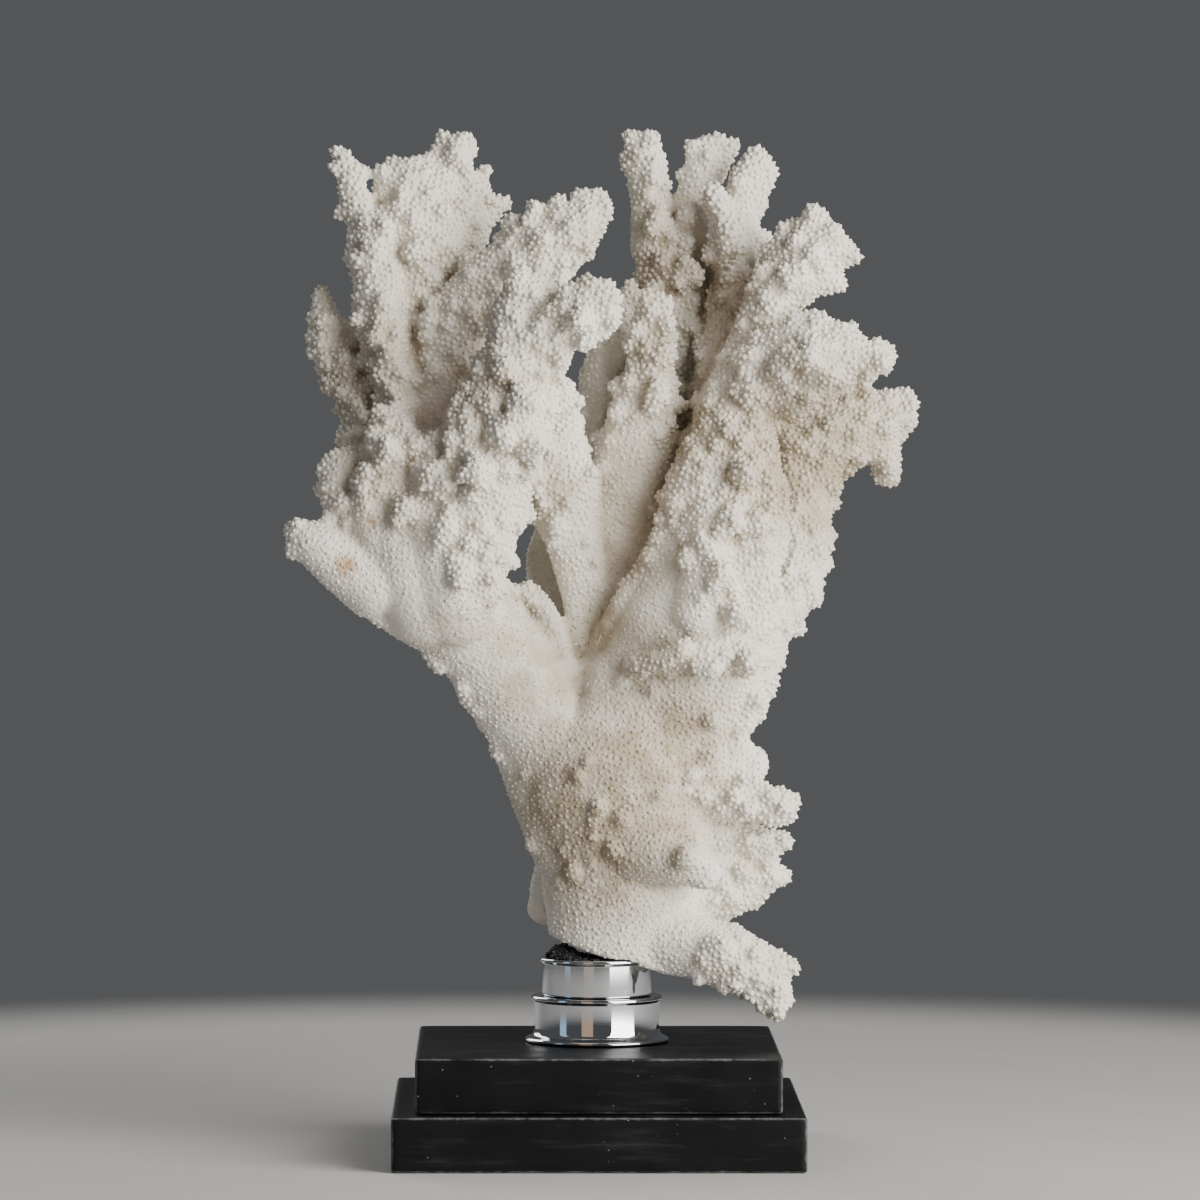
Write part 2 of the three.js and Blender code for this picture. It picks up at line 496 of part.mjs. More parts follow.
const fused = (pieces, grow) => join(pieces.map(([path, form]) => limb(path, form, grow)));

function boxesMeet(one, other) {
  const [a, b] = [one.boundingBox(), other.boundingBox()];
  return [0, 1, 2].every((axis) => a.min[axis] < b.max[axis] && b.min[axis] < a.max[axis]);
}

// Each limb is cut by those before it, so that neighbours meet with a hair's gap
function coralSolids() {
  const room = collarRoom();
  const solids = {};
  const grown = {};
  for (const [name, pieces] of Object.entries(CORAL)) {
    const whole = fused(pieces, 0);
    const cutters = Object.values(grown).filter((neighbour) => boxesMeet(neighbour, whole));
    cutters.push(room);
    if (name === 'coral_trunk') cutters.push(groundUnderCoral(0));
    solids[name] = largestPiece(cutBy(whole, cutters));
    grown[name] = fused(pieces, CORAL_GAP);
  }
  const trunkFoot = cutBy(grown.coral_trunk, [groundUnderCoral(CORAL_GAP)]);
  const bed = largestPiece(cutBy(bedding(), [trunkFoot, grown.coral_base_prong]));
  return { solids, bed };
}

// Materials

const finish = (color, roughness, metalness) => (
  () => new THREE.MeshStandardMaterial({ color, roughness, metalness })
);
const blackPaint = finish('#16171a', 0.55, 0);
const chrome = finish('#c9ced6', 0.08, 1);
const blackGrit = finish('#0d0d0e', 0.95, 0);
const coralWhite = finish('#e6e1d5', 0.92, 0);

// Assembly

const { solids: coral, bed } = coralSolids();
const stand = new THREE.Group();
stand.add(
  meshOf('plinth_lower_slab', slab(LOWER_SLAB_SIDE, 0), blackPaint()),
  meshOf('plinth_upper_slab', slab(UPPER_SLAB_SIDE, upperSlabBottom), blackPaint()),
  meshOf('collar_foot_ring', collarRing(), chrome()),
  meshOf('collar_cup', collarCup(), chrome()),
  meshOf('collar_bedding', bed, blackGrit()),
);
const skeleton = new THREE.Group();
for (const [name, solid] of Object.entries(coral)) {
  skeleton.add(meshOf(name, solid, coralWhite()));
}

const part = new THREE.Group();
part.add(stand, skeleton);

export default part;
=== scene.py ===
# Branching coral skeleton held in a chrome collar on a two-tier black plinth.
# Lengths in the tables below are millimetres, and every mesh is made in metres.

import math

import bmesh
import bpy
import numpy as np
from mathutils import Matrix, Vector


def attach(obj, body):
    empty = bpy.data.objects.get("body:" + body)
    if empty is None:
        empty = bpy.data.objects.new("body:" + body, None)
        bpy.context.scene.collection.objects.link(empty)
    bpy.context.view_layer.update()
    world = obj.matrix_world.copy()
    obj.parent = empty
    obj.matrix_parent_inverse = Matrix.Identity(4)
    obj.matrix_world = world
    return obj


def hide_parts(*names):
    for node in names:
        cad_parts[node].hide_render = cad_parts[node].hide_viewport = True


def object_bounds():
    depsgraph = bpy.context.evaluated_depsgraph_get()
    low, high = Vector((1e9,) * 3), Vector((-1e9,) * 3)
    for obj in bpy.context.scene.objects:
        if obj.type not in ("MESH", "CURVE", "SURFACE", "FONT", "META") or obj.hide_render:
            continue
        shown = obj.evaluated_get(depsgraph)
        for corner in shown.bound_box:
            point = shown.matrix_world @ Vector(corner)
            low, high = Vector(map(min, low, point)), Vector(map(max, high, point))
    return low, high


bl_info = {
    "name": "Branching Coral on a Plinth",
    "version": (1, 0, 0),
    "blender": (4, 5, 0),
    "location": "View3D > Sidebar > Coral",
    "description": "Grows a knobbly coral skeleton on a chrome collar and a stepped black plinth",
    "category": "Object",
}

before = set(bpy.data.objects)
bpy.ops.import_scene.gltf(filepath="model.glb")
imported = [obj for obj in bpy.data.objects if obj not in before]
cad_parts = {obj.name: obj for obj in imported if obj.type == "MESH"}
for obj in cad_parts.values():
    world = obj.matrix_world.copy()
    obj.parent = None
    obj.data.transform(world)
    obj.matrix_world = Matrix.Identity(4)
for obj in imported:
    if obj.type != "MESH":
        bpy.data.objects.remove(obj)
CAD_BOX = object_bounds()

MM = 0.001

# The eye that the coral's places are read from, in millimetres
EYE_DISTANCE = 3436.0
EYE = np.array((-43.5, -EYE_DISTANCE, 374.0))

# Thickness over width of a limb that isn't flattened
ROUND = 0.88

# Coral limbs: each is a path of (across, up, back, radius), its thickness towards the viewer
# over its width, and where needed the direction that its flat side faces.
# Across and up are read on the upright plane through the plinth's middle, as seen from the
# eye. Back moves a place away along that line of sight, minus towards the viewer.
LIMBS = {
    # Trunk: broad and flattened, with a heel, a front lobe and a left shoulder for the arm
    "coral_trunk": [
        ([(13, 84, 0, 36), (14, 110, 0, 39), (15, 130, 0, 43), (16, 150, 0, 46), (15, 176, 0, 54),
          (13, 198, -2, 56), (22, 222, -6, 44)], 0.68),
        ([(-12, 152, 10, 17), (-22, 130, 13, 13), (-27, 121, 13, 9)], ROUND),
        ([(20, 150, -24, 16), (42, 146, -32, 14), (55, 139, -36, 9)], ROUND),
        ([(-4, 156, 0, 30), (-17, 184, -2, 28), (-29, 207, -4, 25)], 0.75),
        ([(58, 196, -14, 18), (78, 194, -16, 10)], ROUND),
        ([(60, 226, -16, 18), (79, 226, -18, 9)], ROUND),
    ],
    # Upper side prong: the longest of the short fingers low on the right
    "coral_upper_side_prong": [
        ([(46, 181, -14, 17), (64, 176, -20, 12), (81, 175, -24, 10.5), (95, 172, -26, 8)], ROUND),
    ],
    # Lower side prongs: short fingers below it, grown together at their roots
    "coral_lower_side_prongs": [
        ([(46, 162, -6, 15), (62, 159, -8, 10), (81, 156, -8, 8), (93, 156, -8, 6)], ROUND),
        ([(42, 146, -4, 17), (64, 141, -4, 14), (85, 140, -4, 10)], ROUND),
        ([(46, 131, -2, 18), (66, 130, -2, 14), (81, 133, -2, 9)], ROUND),
    ],
    # Base prong: points down to the right, past the collar
    "coral_base_prong": [
        ([(16, 112, -6, 18), (36, 106, -12, 18), (52, 102, -18, 17), (69, 95, -22, 17.5),
          (82, 86, -24, 13), (88, 76, -25, 8.5)], ROUND),
        ([(74, 96, -22, 12), (91, 94, -24, 8)], ROUND),
    ],
    # Left palm: the arm that leaves the trunk, its smooth web, three ridges and the thumb
    "coral_left_palm": [
        ([(4, 194, -4, 30), (-16, 208, -8, 30), (-34, 226, -12, 28), (-57, 256, -22, 26),
          (-75, 272, -30, 26), (-88, 284, -36, 25)], 0.8),
        ([(-37, 266, -6, 16), (-27, 243, -8, 18), (-17, 219, -8, 17)], 0.6),
        ([(-128, 343, -32, 12), (-125, 326, -36, 14), (-114, 306, -38, 17),
          (-98, 290, -36, 18)], ROUND),
        ([(-116, 337, -48, 9), (-112, 318, -50, 11), (-104, 300, -46, 13)], ROUND),
        ([(-104, 361, -38, 13), (-101, 336, -42, 18), (-95, 301, -44, 21),
          (-84, 271, -40, 21)], ROUND),
        ([(-84, 347, -48, 14), (-80, 316, -52, 18), (-72, 276, -46, 20)], ROUND),
        ([(-151, 310, -46, 8.5), (-146, 307, -46, 11.5), (-138, 302, -46, 13.5),
          (-127, 295, -44, 16), (-110, 286, -40, 20)], ROUND),
    ],
    # Left front finger: broad, close to the viewer, forking into an upright and a side finger
    "coral_left_front_finger": [
        ([(-73, 271, -44, 22), (-65, 306, -50, 25), (-57, 341, -54, 26), (-47, 369, -56, 26),
          (-42, 391, -58, 21), (-38, 407, -60, 15)], 0.78),
        ([(-44, 408, -58, 11), (-41, 424, -60, 10), (-37, 434, -60, 9)], ROUND),
        ([(-36, 426, -58, 8), (-25, 432, -58, 7)], ROUND),
        ([(-36, 398, -58, 15), (-19, 412, -64, 14), (-5, 419, -68, 16), (3, 417, -70, 11)], 0.72),
        ([(-8, 428, -66, 8), (-5, 436, -66, 5)], ROUND),
        ([(1, 426, -70, 8), (5, 433, -70, 5)], ROUND),
        ([(-34, 374, -54, 16), (-19, 377, -54, 10)], ROUND),
        ([(-34, 396, -58, 14), (-20, 397, -58, 9)], ROUND),
    ],
    # Left outer finger: slender, behind the palm, leaning outwards
    "coral_left_outer_finger": [
        ([(-139, 429, 6, 4.5), (-136.5, 420, 6, 8), (-135, 409, 4, 11), (-127, 395, 2, 12),
          (-120, 380, -2, 12), (-117, 362, -8, 11), (-111, 344, -16, 11),
          (-102, 318, -26, 13)], ROUND),
    ],
    # Left fan: a tall flattened frond with a pointed outer finger and knobs along its top
    "coral_left_fan": [
        ([(-98, 486, -4, 13), (-91, 466, -4, 20), (-93, 441, -4, 22), (-92, 416, -4, 22),
          (-87, 386, -8, 21), (-84, 356, -14, 19), (-80, 320, -24, 18)], 0.7),
        ([(-94, 482, -2, 14), (-79, 482, 2, 13)], ROUND),
        ([(-111, 460, -14, 12), (-109, 436, -16, 14), (-106, 411, -17, 13.5), (-101, 386, -18, 12),
          (-95, 356, -20, 12)], ROUND),
        ([(-127, 498, -10, 5), (-124, 487, -10, 7.5), (-120, 474, -10, 9),
          (-113, 454, -10, 11)], ROUND),
        ([(-72, 500, 6, 9.5), (-71, 486, 6, 10.5), (-74, 464, 4, 14), (-80, 434, 0, 15)], ROUND),
        ([(-76, 500, 6, 6), (-78, 508, 6, 4.5)], ROUND),
        ([(-68, 498, 6, 6), (-66, 506, 6, 5)], ROUND),
        ([(-57.5, 489, 12, 4.5), (-59.5, 478, 12, 6), (-64, 459, 8, 9), (-71, 441, 4, 11)], ROUND),
        ([(-49.5, 475, 16, 5), (-57.5, 466, 14, 7), (-66, 452, 8, 9)], ROUND),
    ],
    # Left comb: a limb that bends over to the right and carries a row of small fingers
    "coral_left_comb": [
        ([(-78, 358, -16, 17), (-75, 392, -16, 18), (-65, 422, -20, 17), (-46, 441, -24, 16),
          (-27, 452, -28, 18), (-11, 463, -30, 15), (-1, 471, -30, 9)], 0.75),
        ([(-43, 450, -26, 7), (-42, 467, -28, 4.5)], ROUND),
        ([(-33, 455, -28, 7), (-32, 472, -30, 5)], ROUND),
        ([(-19, 464, -30, 8), (-20, 474, -30, 6)], ROUND),
        ([(-8, 470, -30, 8), (-6, 478, -30, 6)], ROUND),
        ([(-15, 457, -30, 9), (-6, 451, -30, 6)], ROUND),
        ([(-26, 450, -28, 9), (-13, 446, -28, 6)], ROUND),
    ],
    # Middle left finger: a leaf shape that hides its tip behind the front finger
    "coral_middle_left_finger": [
        ([(-18, 372, -20, 10), (-19, 354, -20, 15), (-18, 331, -20, 20), (-12, 306, -18, 14.5),
          (-5, 281, -12, 14), (0, 256, -8, 15), (8, 228, -4, 17)], 0.7),
    ],
    # Middle finger: tall and smooth, with a knobbly tip
    "coral_middle_finger": [
        ([(27, 426, -14, 6), (27, 416, -14, 11), (26, 391, -12, 13.5), (21.5, 366, -8, 18),
          (17, 336, -6, 21), (14, 306, -4, 21), (8, 276, -2, 19), (6, 240, 0, 20)], 0.75),
    ],
    # Middle rear finger: in the shade behind the middle finger
    "coral_middle_rear_finger": [
        ([(16.5, 430, 14, 5.5), (10.5, 416, 14, 10.5), (4.5, 396, 14, 11.5), (2.5, 376, 14, 11.5),
          (2.5, 351, 14, 11), (5, 321, 14, 12), (8, 280, 10, 14)], ROUND),
    ],
    # Rear left finger: smooth and thin, seen through the gap beside the web
    "coral_rear_left_finger": [
        ([(-6, 391, 50, 4), (-4, 381, 50, 6.5), (-6.5, 366, 50, 7.5), (-12.5, 341, 48, 9),
          (-20.5, 314, 46, 10), (-24.5, 296, 44, 12), (-18.5, 266, 38, 14), (-7, 236, 26, 16),
          (4, 212, 14, 18)], ROUND),
    ],
    # Tall fingers: the highest pair, on one broad stem
    "coral_tall_fingers": [
        ([(35, 456, 30, 16), (38, 442, 30, 21), (37.5, 424, 30, 24), (34, 404, 28, 20),
          (30.5, 381, 26, 18), (27.5, 358, 24, 16.5), (21.5, 328, 20, 17), (14, 292, 16, 17),
          (12, 250, 10, 18)], 0.7),
        ([(22.5, 504, 30, 9.5), (24, 494, 30, 12), (25.5, 476, 30, 10), (28, 452, 30, 12)], ROUND),
        ([(58, 504, 38, 6.5), (53.5, 491, 36, 10), (47.5, 476, 34, 10), (45, 456, 32, 13)], ROUND),
        ([(50, 490, 34, 7), (46.5, 504, 34, 4.5)], ROUND),
        ([(58, 492, 38, 7), (68, 504, 38, 4.5)], ROUND),
    ],
    # Right middle fingers: a stem in the shade, a bright thumb and a knobbly head beside it
    "coral_right_middle_fingers": [
        ([(58.5, 481, 8, 5), (61.5, 472, 8, 8.5), (67, 461, 8, 13), (70, 446, 8, 13),
          (71.5, 431, 8, 14), (67.5, 411, 10, 15), (62.5, 391, 10, 14.5), (57.5, 371, 8, 14),
          (52, 351, 6, 14), (46, 326, 2, 15), (38, 294, -2, 16), (28, 256, -4, 18)], ROUND),
        ([(80, 498, 18, 7), (75, 488, 18, 10), (72, 476, 18, 9.5), (71, 458, 14, 10)], ROUND),
        ([(76, 489, 18, 8), (84, 493, 18, 6)], ROUND),
        ([(72, 474, 16, 8), (80, 473, 18, 6.5)], ROUND),
        ([(74, 458, 16, 8), (84, 457, 20, 5)], ROUND),
        ([(72, 439, -2, 8), (71, 432, 0, 8)], ROUND),
    ],
    # Right upper finger: leans right and ends in a spray of tips
    "coral_right_upper_finger": [
        ([(50, 340, -4, 14), (61, 366, -10, 14), (73, 391, -14, 15), (82, 411, -18, 15.5),
          (89, 429, -22, 15.5), (99, 445, -24, 15), (105, 456, -24, 10)], 0.8),
        ([(104, 455, -24, 9), (109, 470, -24, 6)], ROUND),
        ([(106, 447, -26, 11), (119, 453, -28, 9), (126, 449, -28, 6.5)], ROUND),
        ([(92, 450, -20, 8), (93, 463, -20, 4.5)], ROUND),
        ([(99, 453, -16, 8), (101, 465, -14, 4.5)], ROUND),
        ([(102, 438, -26, 12), (115, 436, -28, 8.5)], ROUND),
    ],
    # Right side finger: thick and knobbly, pointing right
    "coral_right_side_finger": [
        ([(50, 326, -10, 15), (58, 350, -14, 16), (70, 376, -22, 19), (86, 388, -30, 23),
          (104, 396, -38, 24), (121, 399, -44, 17), (136, 396, -48, 10), (144, 395, -48, 6)], 0.78),
        ([(96, 386, -38, 14), (101, 374, -40, 9)], ROUND),
        ([(108, 408, -40, 12), (110, 417, -40, 7)], ROUND),
        ([(110, 392, -50, 12), (116, 390, -56, 8)], ROUND),
    ],
    # Front ridge: the largest limb, bright, with a smooth left face and a ledge at its foot
    "coral_front_ridge": [
        ([(74, 371, -30, 17), (69, 356, -32, 24), (63.5, 331, -34, 31), (59.5, 306, -34, 33),
          (53, 281, -30, 35), (44, 251, -21, 40), (30, 214, -6, 44)], 0.6),
        ([(82, 345, -38, 10), (85, 320, -40, 11), (80, 290, -40, 12), (78, 268, -34, 12)], ROUND),
        ([(56, 318, -50, 12), (54, 292, -50, 13), (50, 270, -46, 13)], ROUND),
        ([(18, 243, -38, 6), (36, 247, -44, 8), (54, 249, -48, 10), (70, 252, -40, 12)], ROUND),
    ],
    # Rear right limb: a stalk behind the front ridge that opens into a hand of fingers
    "coral_rear_right_limb": [
        ([(42, 208, 6, 20), (58, 230, 20, 17), (75, 251, 40, 15), (87, 268, 54, 15),
          (98, 288, 66, 16), (101, 308, 74, 16.5), (102, 332, 80, 17), (110, 353, 86, 19),
          (126, 361, 90, 20), (141, 366, 92, 16), (153, 371, 92, 8)], 0.8),
        ([(138, 358, 90, 11), (144, 345, 92, 8.5), (146, 338, 92, 6.5)], ROUND),
        ([(148, 374, 92, 7), (155, 380, 92, 4.5)], ROUND),
        ([(149, 368, 94, 7), (158, 366, 96, 5)], ROUND),
        ([(112, 360, 88, 14), (124, 382, 96, 12), (134, 394, 100, 9), (140, 402, 102, 6)], ROUND),
        ([(124, 384, 96, 10), (125, 402, 98, 7), (127, 410, 98, 5)], ROUND),
        ([(104, 352, 84, 14), (94, 370, 88, 11), (90, 380, 90, 8)], ROUND),
        ([(72, 246, 34, 11), (86, 236, 38, 7)], ROUND),
    ],
    # Rear fan fingers: two fingers behind the left fan
    "coral_rear_fan_fingers": [
        ([(-50, 246, -6, 17), (-62, 276, 12, 14), (-74, 306, 28, 14), (-82, 340, 40, 15),
          (-87, 376, 50, 15), (-86, 410, 56, 13), (-82, 436, 58, 9)], ROUND),
        ([(-88, 380, 52, 10), (-100, 400, 66, 9), (-104, 418, 72, 6)], ROUND),
        ([(-78, 322, 36, 12), (-72, 344, 60, 11), (-68, 358, 72, 8)], ROUND),
        ([(-86, 404, 56, 9), (-92, 424, 52, 7)], ROUND),
    ],
    # Rear crown finger: stands behind the tall fingers and forks near its top
    "coral_rear_crown_finger": [
        ([(24, 222, 16, 19), (38, 262, 34, 17), (52, 304, 50, 15), (62, 342, 62, 14),
          (64, 372, 70, 14), (60, 402, 78, 14), (56, 430, 82, 11), (54, 446, 84, 7)], ROUND),
        ([(62, 388, 78, 10), (68, 410, 96, 9), (70, 424, 104, 6)], ROUND),
        ([(56, 410, 84, 9), (44, 428, 96, 8), (40, 438, 102, 6)], ROUND),
        ([(56, 318, 56, 11), (60, 326, 80, 9), (62, 336, 92, 6)], ROUND),
    ],
    # Rear prongs: short fingers at the back of the trunk
    "coral_rear_prongs": [
        ([(12, 176, 20, 18), (4, 186, 46, 14), (0, 197, 64, 10), (-2, 204, 74, 7)], ROUND,
          (1, 0, 0)),
        ([(24, 156, 20, 16), (36, 152, 44, 12), (42, 154, 60, 8)], ROUND, (0, 0, 1)),
        ([(4, 184, 40, 10), (-12, 192, 58, 8), (-16, 198, 66, 6)], ROUND, (0, 0, 1)),
        ([(2, 140, 20, 14), (-2, 132, 38, 10)], ROUND, (0, 0, 1)),
    ],
}

# Twigs: small side fingers and ridges fused to a limb, each a path of (across, up, back, radius)
TWIGS = {
    "coral_left_fan": [
        [(-74, 498, 5, 5), (-78, 509.5, 5, 3.2)], [(-70, 500, 5, 5), (-67, 511, 5, 3.6)],
        [(-67, 498, 6, 5), (-62, 508.5, 7, 3.4)], [(-78, 496, 3, 5), (-83, 503, 3, 3)],
        [(-106, 480, -4, 7), (-110, 490, -4, 3.6)], [(-101, 482, -4, 7), (-103, 494, -4, 3.6)],
        [(-95, 484, -4, 7), (-97, 496, -4, 3.6)], [(-90, 486, -2, 7), (-92, 499, -2, 3.6)],
        [(-85, 488, 0, 7), (-86, 500, 0, 3.6)], [(-60, 474, 13, 5), (-58.5, 491, 13, 3.4)],
        [(-58, 466, 15, 5), (-49, 475, 16, 3.6)], [(-90, 450, -18, 8), (-88, 456, -26, 5)],
        [(-74, 452, -8, 6), (-74, 458, -14, 4)], [(-112, 452, -24, 6), (-113, 456, -29, 4.5)],
        [(-107, 424, -26, 7), (-107, 428, -32, 5)], [(-104, 398, -28, 7), (-104, 402, -34, 5)],
        [(-99, 372, -28, 7), (-99, 376, -35, 5)], [(-84, 410, -18, 6), (-80, 416, -24, 4.5)],
    ],
    "coral_left_comb": [
        [(-42, 452, -26, 5), (-42, 470.5, -27, 3.2)], [(-33, 458, -28, 5), (-32, 477, -30, 3.6)],
        [(-25, 462, -28, 5), (-25, 475, -28, 3.2)], [(-18, 468, -30, 5), (-21, 480, -30, 3.2)],
        [(-10, 470, -30, 5), (-9, 483, -30, 3.4)], [(-4, 470, -30, 5), (1, 483, -31, 3.4)],
        [(-2, 468, -31, 5), (6, 477, -32, 3.4)], [(-2, 466, -30, 5), (7, 469, -31, 3.2)],
        [(-6, 462, -29, 5), (3, 463, -30, 3.2)], [(-10, 456, -28, 5), (-2, 455, -29, 3.2)],
        [(-16, 450, -26, 5), (-9, 447, -27, 3.2)], [(-52, 436, -24, 6), (-56, 452, -24, 3.8)],
        [(-62, 430, -20, 6), (-66, 444, -20, 3.8)], [(-28, 456, -40, 6), (-27, 458, -46, 4)],
        [(-42, 442, -36, 6), (-42, 446, -42, 4)], [(-14, 462, -40, 6), (-12, 466, -45, 4)],
    ],
    "coral_left_front_finger": [
        [(-41, 424, -60, 5), (-41, 436, -60, 3.4)], [(-38, 428, -60, 5), (-35, 440.5, -61, 3.4)],
        [(-34, 428, -60, 5), (-29, 439.5, -60, 3.4)], [(-28, 428, -58, 5), (-23, 436, -58, 3.4)],
        [(-12, 422, -68, 6), (-13, 436, -69, 3.4)], [(-4, 424, -70, 6), (-4, 439, -72, 3.4)],
        [(0, 424, -70, 6), (5, 438, -72, 3.4)], [(2, 420, -70, 6), (10, 430, -72, 3.4)],
        [(2, 416, -70, 6), (11, 420, -72, 3.4)], [(0, 412, -70, 6), (8, 410, -72, 3.4)],
        [(-6, 410, -68, 6), (-3, 403, -70, 3.4)], [(-24, 398, -58, 6), (-16, 400, -58, 3.6)],
        [(-24, 380, -56, 7), (-15, 382, -56, 4)], [(-30, 366, -56, 8), (-21, 363, -56, 4.5)],
        [(-38, 374, -80, 8), (-36, 378, -86, 5)], [(-48, 360, -78, 8), (-48, 362, -84, 5)],
        [(-46, 392, -74, 7), (-46, 398, -80, 4.5)], [(-34, 354, -74, 8), (-30, 354, -82, 5)],
        [(-60, 342, -78, 8), (-62, 346, -83, 5)], [(-10, 416, -80, 6), (-10, 418, -86, 4)],
    ],
    "coral_left_outer_finger": [
        [(-138, 406, 2, 7), (-145, 411, 1, 4)], [(-134, 414, 0, 7), (-134, 418, -8, 4)],
        [(-126, 396, -6, 7), (-126, 400, -12, 4.5)], [(-120, 372, -8, 7), (-120, 376, -16, 4.5)],
    ],
    # Lip of the web, loose crusts under the arm
    "coral_left_palm": [
        [(-46, 279, -14, 5), (-35, 279, -14, 5), (-27, 273, -15, 5), (-21, 262, -17, 5),
         (-16, 246, -19, 5), (-13, 230, -20, 4), (-12, 222, -20, 2.5)],
        [(-110, 268, -40, 4), (-98, 260, -38, 4), (-88, 253, -34, 3)],
        [(-84, 250, -32, 4), (-76, 239, -30, 4)],
        [(-67, 230, -24, 4), (-58, 221, -22, 4.5), (-52, 219, -22, 4)],
        [(-54, 213, -18, 4), (-49, 204, -16, 4)],
        [(-50, 202, -14, 4), (-44, 196, -12, 4)],
        [(-132, 338, -38, 8), (-137, 342, -38, 4)], [(-130, 324, -42, 8), (-137, 326, -42, 4.5)],
        [(-104, 352, -54, 9), (-106, 358, -58, 5)], [(-82, 338, -66, 8), (-82, 344, -70, 5)],
        [(-76, 312, -68, 8), (-74, 316, -73, 5)], [(-96, 322, -62, 8), (-98, 326, -67, 5)],
        [(-68, 292, -64, 8), (-62, 294, -68, 5)],
    ],
    "coral_middle_rear_finger": [
        [(8, 420, 14, 6), (4, 434, 14, 3.6)], [(14, 424, 14, 6), (20, 433, 14, 3.4)],
    ],
    "coral_middle_finger": [
        [(26, 418, -16, 6), (22, 430, -18, 3.6)], [(28, 418, -16, 6), (30, 431, -18, 3.4)],
        [(32, 400, -22, 6), (35, 404, -27, 4)], [(30, 378, -26, 7), (34, 378, -31, 4)],
    ],
    "coral_tall_fingers": [
        [(22, 500, 29, 6), (22.5, 510.5, 28, 4.2)], [(19, 498, 30, 6), (16, 506, 30, 4)],
        [(26, 498, 30, 6), (30, 506, 30, 4)], [(17, 494, 30, 6), (13, 501, 30, 3.4)],
        [(28, 490, 30, 6), (34, 496, 30, 3.6)], [(50, 492, 35, 6), (46, 505, 34, 3.4)],
        [(54, 497, 37, 6), (53.5, 510, 37, 3.8)], [(58, 498, 38, 6), (61.5, 509.5, 38, 3.6)],
        [(62, 496, 38, 5), (69, 505.5, 38, 3.4)], [(46, 470, 22, 7), (46, 476, 17, 4)],
        [(30, 466, 20, 7), (30, 472, 14, 4)], [(44, 440, 14, 8), (46, 446, 7, 5)],
    ],
    "coral_right_middle_fingers": [
        [(77, 492, 18, 6), (79, 504, 18, 3.6)], [(80, 490, 18, 6), (85, 499, 18, 3.6)],
        [(82, 488, 18, 6), (90, 493, 18, 3.6)], [(80, 484, 18, 6), (89, 485, 18, 3.6)],
        [(78, 476, 18, 6), (86, 474, 18, 4)], [(60, 476, 4, 6), (56, 485, 3, 4)],
        [(66, 460, -2, 7), (66, 464, -8, 4.5)], [(70, 440, -4, 8), (70, 444, -10, 5)],
    ],
    "coral_right_upper_finger": [
        [(105, 462, -24, 5), (108, 476, -24, 3.2)], [(108, 462, -25, 5), (115, 471, -26, 3.2)],
        [(94, 454, -20, 5), (91, 466, -20, 3.2)], [(99, 456, -18, 5), (97, 468, -16, 3.2)],
        [(114, 450, -28, 6), (119, 461, -29, 3.4)], [(118, 450, -28, 6), (127, 450, -29, 3.4)],
        [(116, 446, -28, 6), (124, 442, -29, 3.4)], [(112, 440, -28, 6), (122, 436, -30, 3.6)],
        [(108, 436, -28, 6), (114, 430, -30, 3.6)], [(102, 430, -26, 6), (105, 423, -28, 3.6)],
        [(98, 440, -38, 7), (100, 444, -43, 4.5)], [(86, 418, -30, 7), (86, 424, -36, 4.5)],
    ],
    "coral_right_side_finger": [
        [(104, 410, -40, 6), (106, 421.5, -40, 4)], [(112, 408, -42, 6), (115, 419, -42, 3.6)],
        [(118, 406, -44, 6), (123, 416, -44, 3.4)], [(128, 400, -46, 6), (134, 408, -46, 3.6)],
        [(136, 398, -48, 6), (142, 405, -48, 3.6)], [(138, 396, -48, 5), (147, 399, -48, 3.2)],
        [(134, 394, -48, 6), (142, 390, -48, 3.6)], [(122, 390, -46, 7), (128, 384, -46, 4.4)],
        [(114, 384, -44, 7), (118, 379, -44, 4.4)], [(106, 382, -42, 8), (110, 375, -42, 4.6)],
        [(96, 378, -40, 8), (98, 368, -40, 4.6)], [(92, 392, -50, 8), (90, 398, -56, 5)],
        [(106, 398, -58, 8), (106, 402, -64, 5)], [(78, 380, -42, 8), (76, 386, -47, 5)],
    ],
    # Crest along the left edge of the ridge, crusts down its right side
    "coral_front_ridge": [
        [(47, 346, -40, 5), (38, 322, -40, 4.4), (25, 296, -36, 4), (14, 280, -30, 4),
         (5, 265, -24, 3.6), (-2, 250, -18, 3), (-7, 238, -14, 2.4)],
        [(20, 243, -50, 4), (30, 246, -55, 4), (40, 250, -58, 4.5), (47, 255, -58, 4)],
        [(86, 340, -44, 8), (93, 342, -44, 4.5)], [(88, 322, -44, 8), (95, 320, -44, 4.5)],
        [(84, 300, -44, 8), (91, 298, -44, 4.5)], [(82, 284, -42, 8), (89, 280, -42, 4.5)],
        [(78, 262, -40, 8), (86, 262, -42, 4.5)], [(72, 246, -38, 8), (81, 242, -40, 4.5)],
        [(74, 340, -56, 8), (75, 344, -62, 5)], [(66, 316, -60, 8), (66, 320, -66, 5)],
        [(62, 290, -62, 8), (62, 294, -68, 5)], [(70, 270, -56, 8), (71, 272, -63, 5)],
        [(80, 316, -56, 8), (82, 320, -61, 5)], [(76, 246, -50, 7), (78, 248, -56, 5)],
    ],
    "coral_upper_side_prong": [
        [(84, 178, -26, 6), (88, 184, -27, 3.8)], [(90, 176, -26, 6), (97, 180, -27, 3.6)],
        [(92, 172, -26, 6), (100, 172, -27, 3.6)], [(88, 168, -26, 6), (95, 165, -27, 3.6)],
        [(74, 182, -26, 6), (76, 188, -27, 3.8)],
    ],
    "coral_lower_side_prongs": [
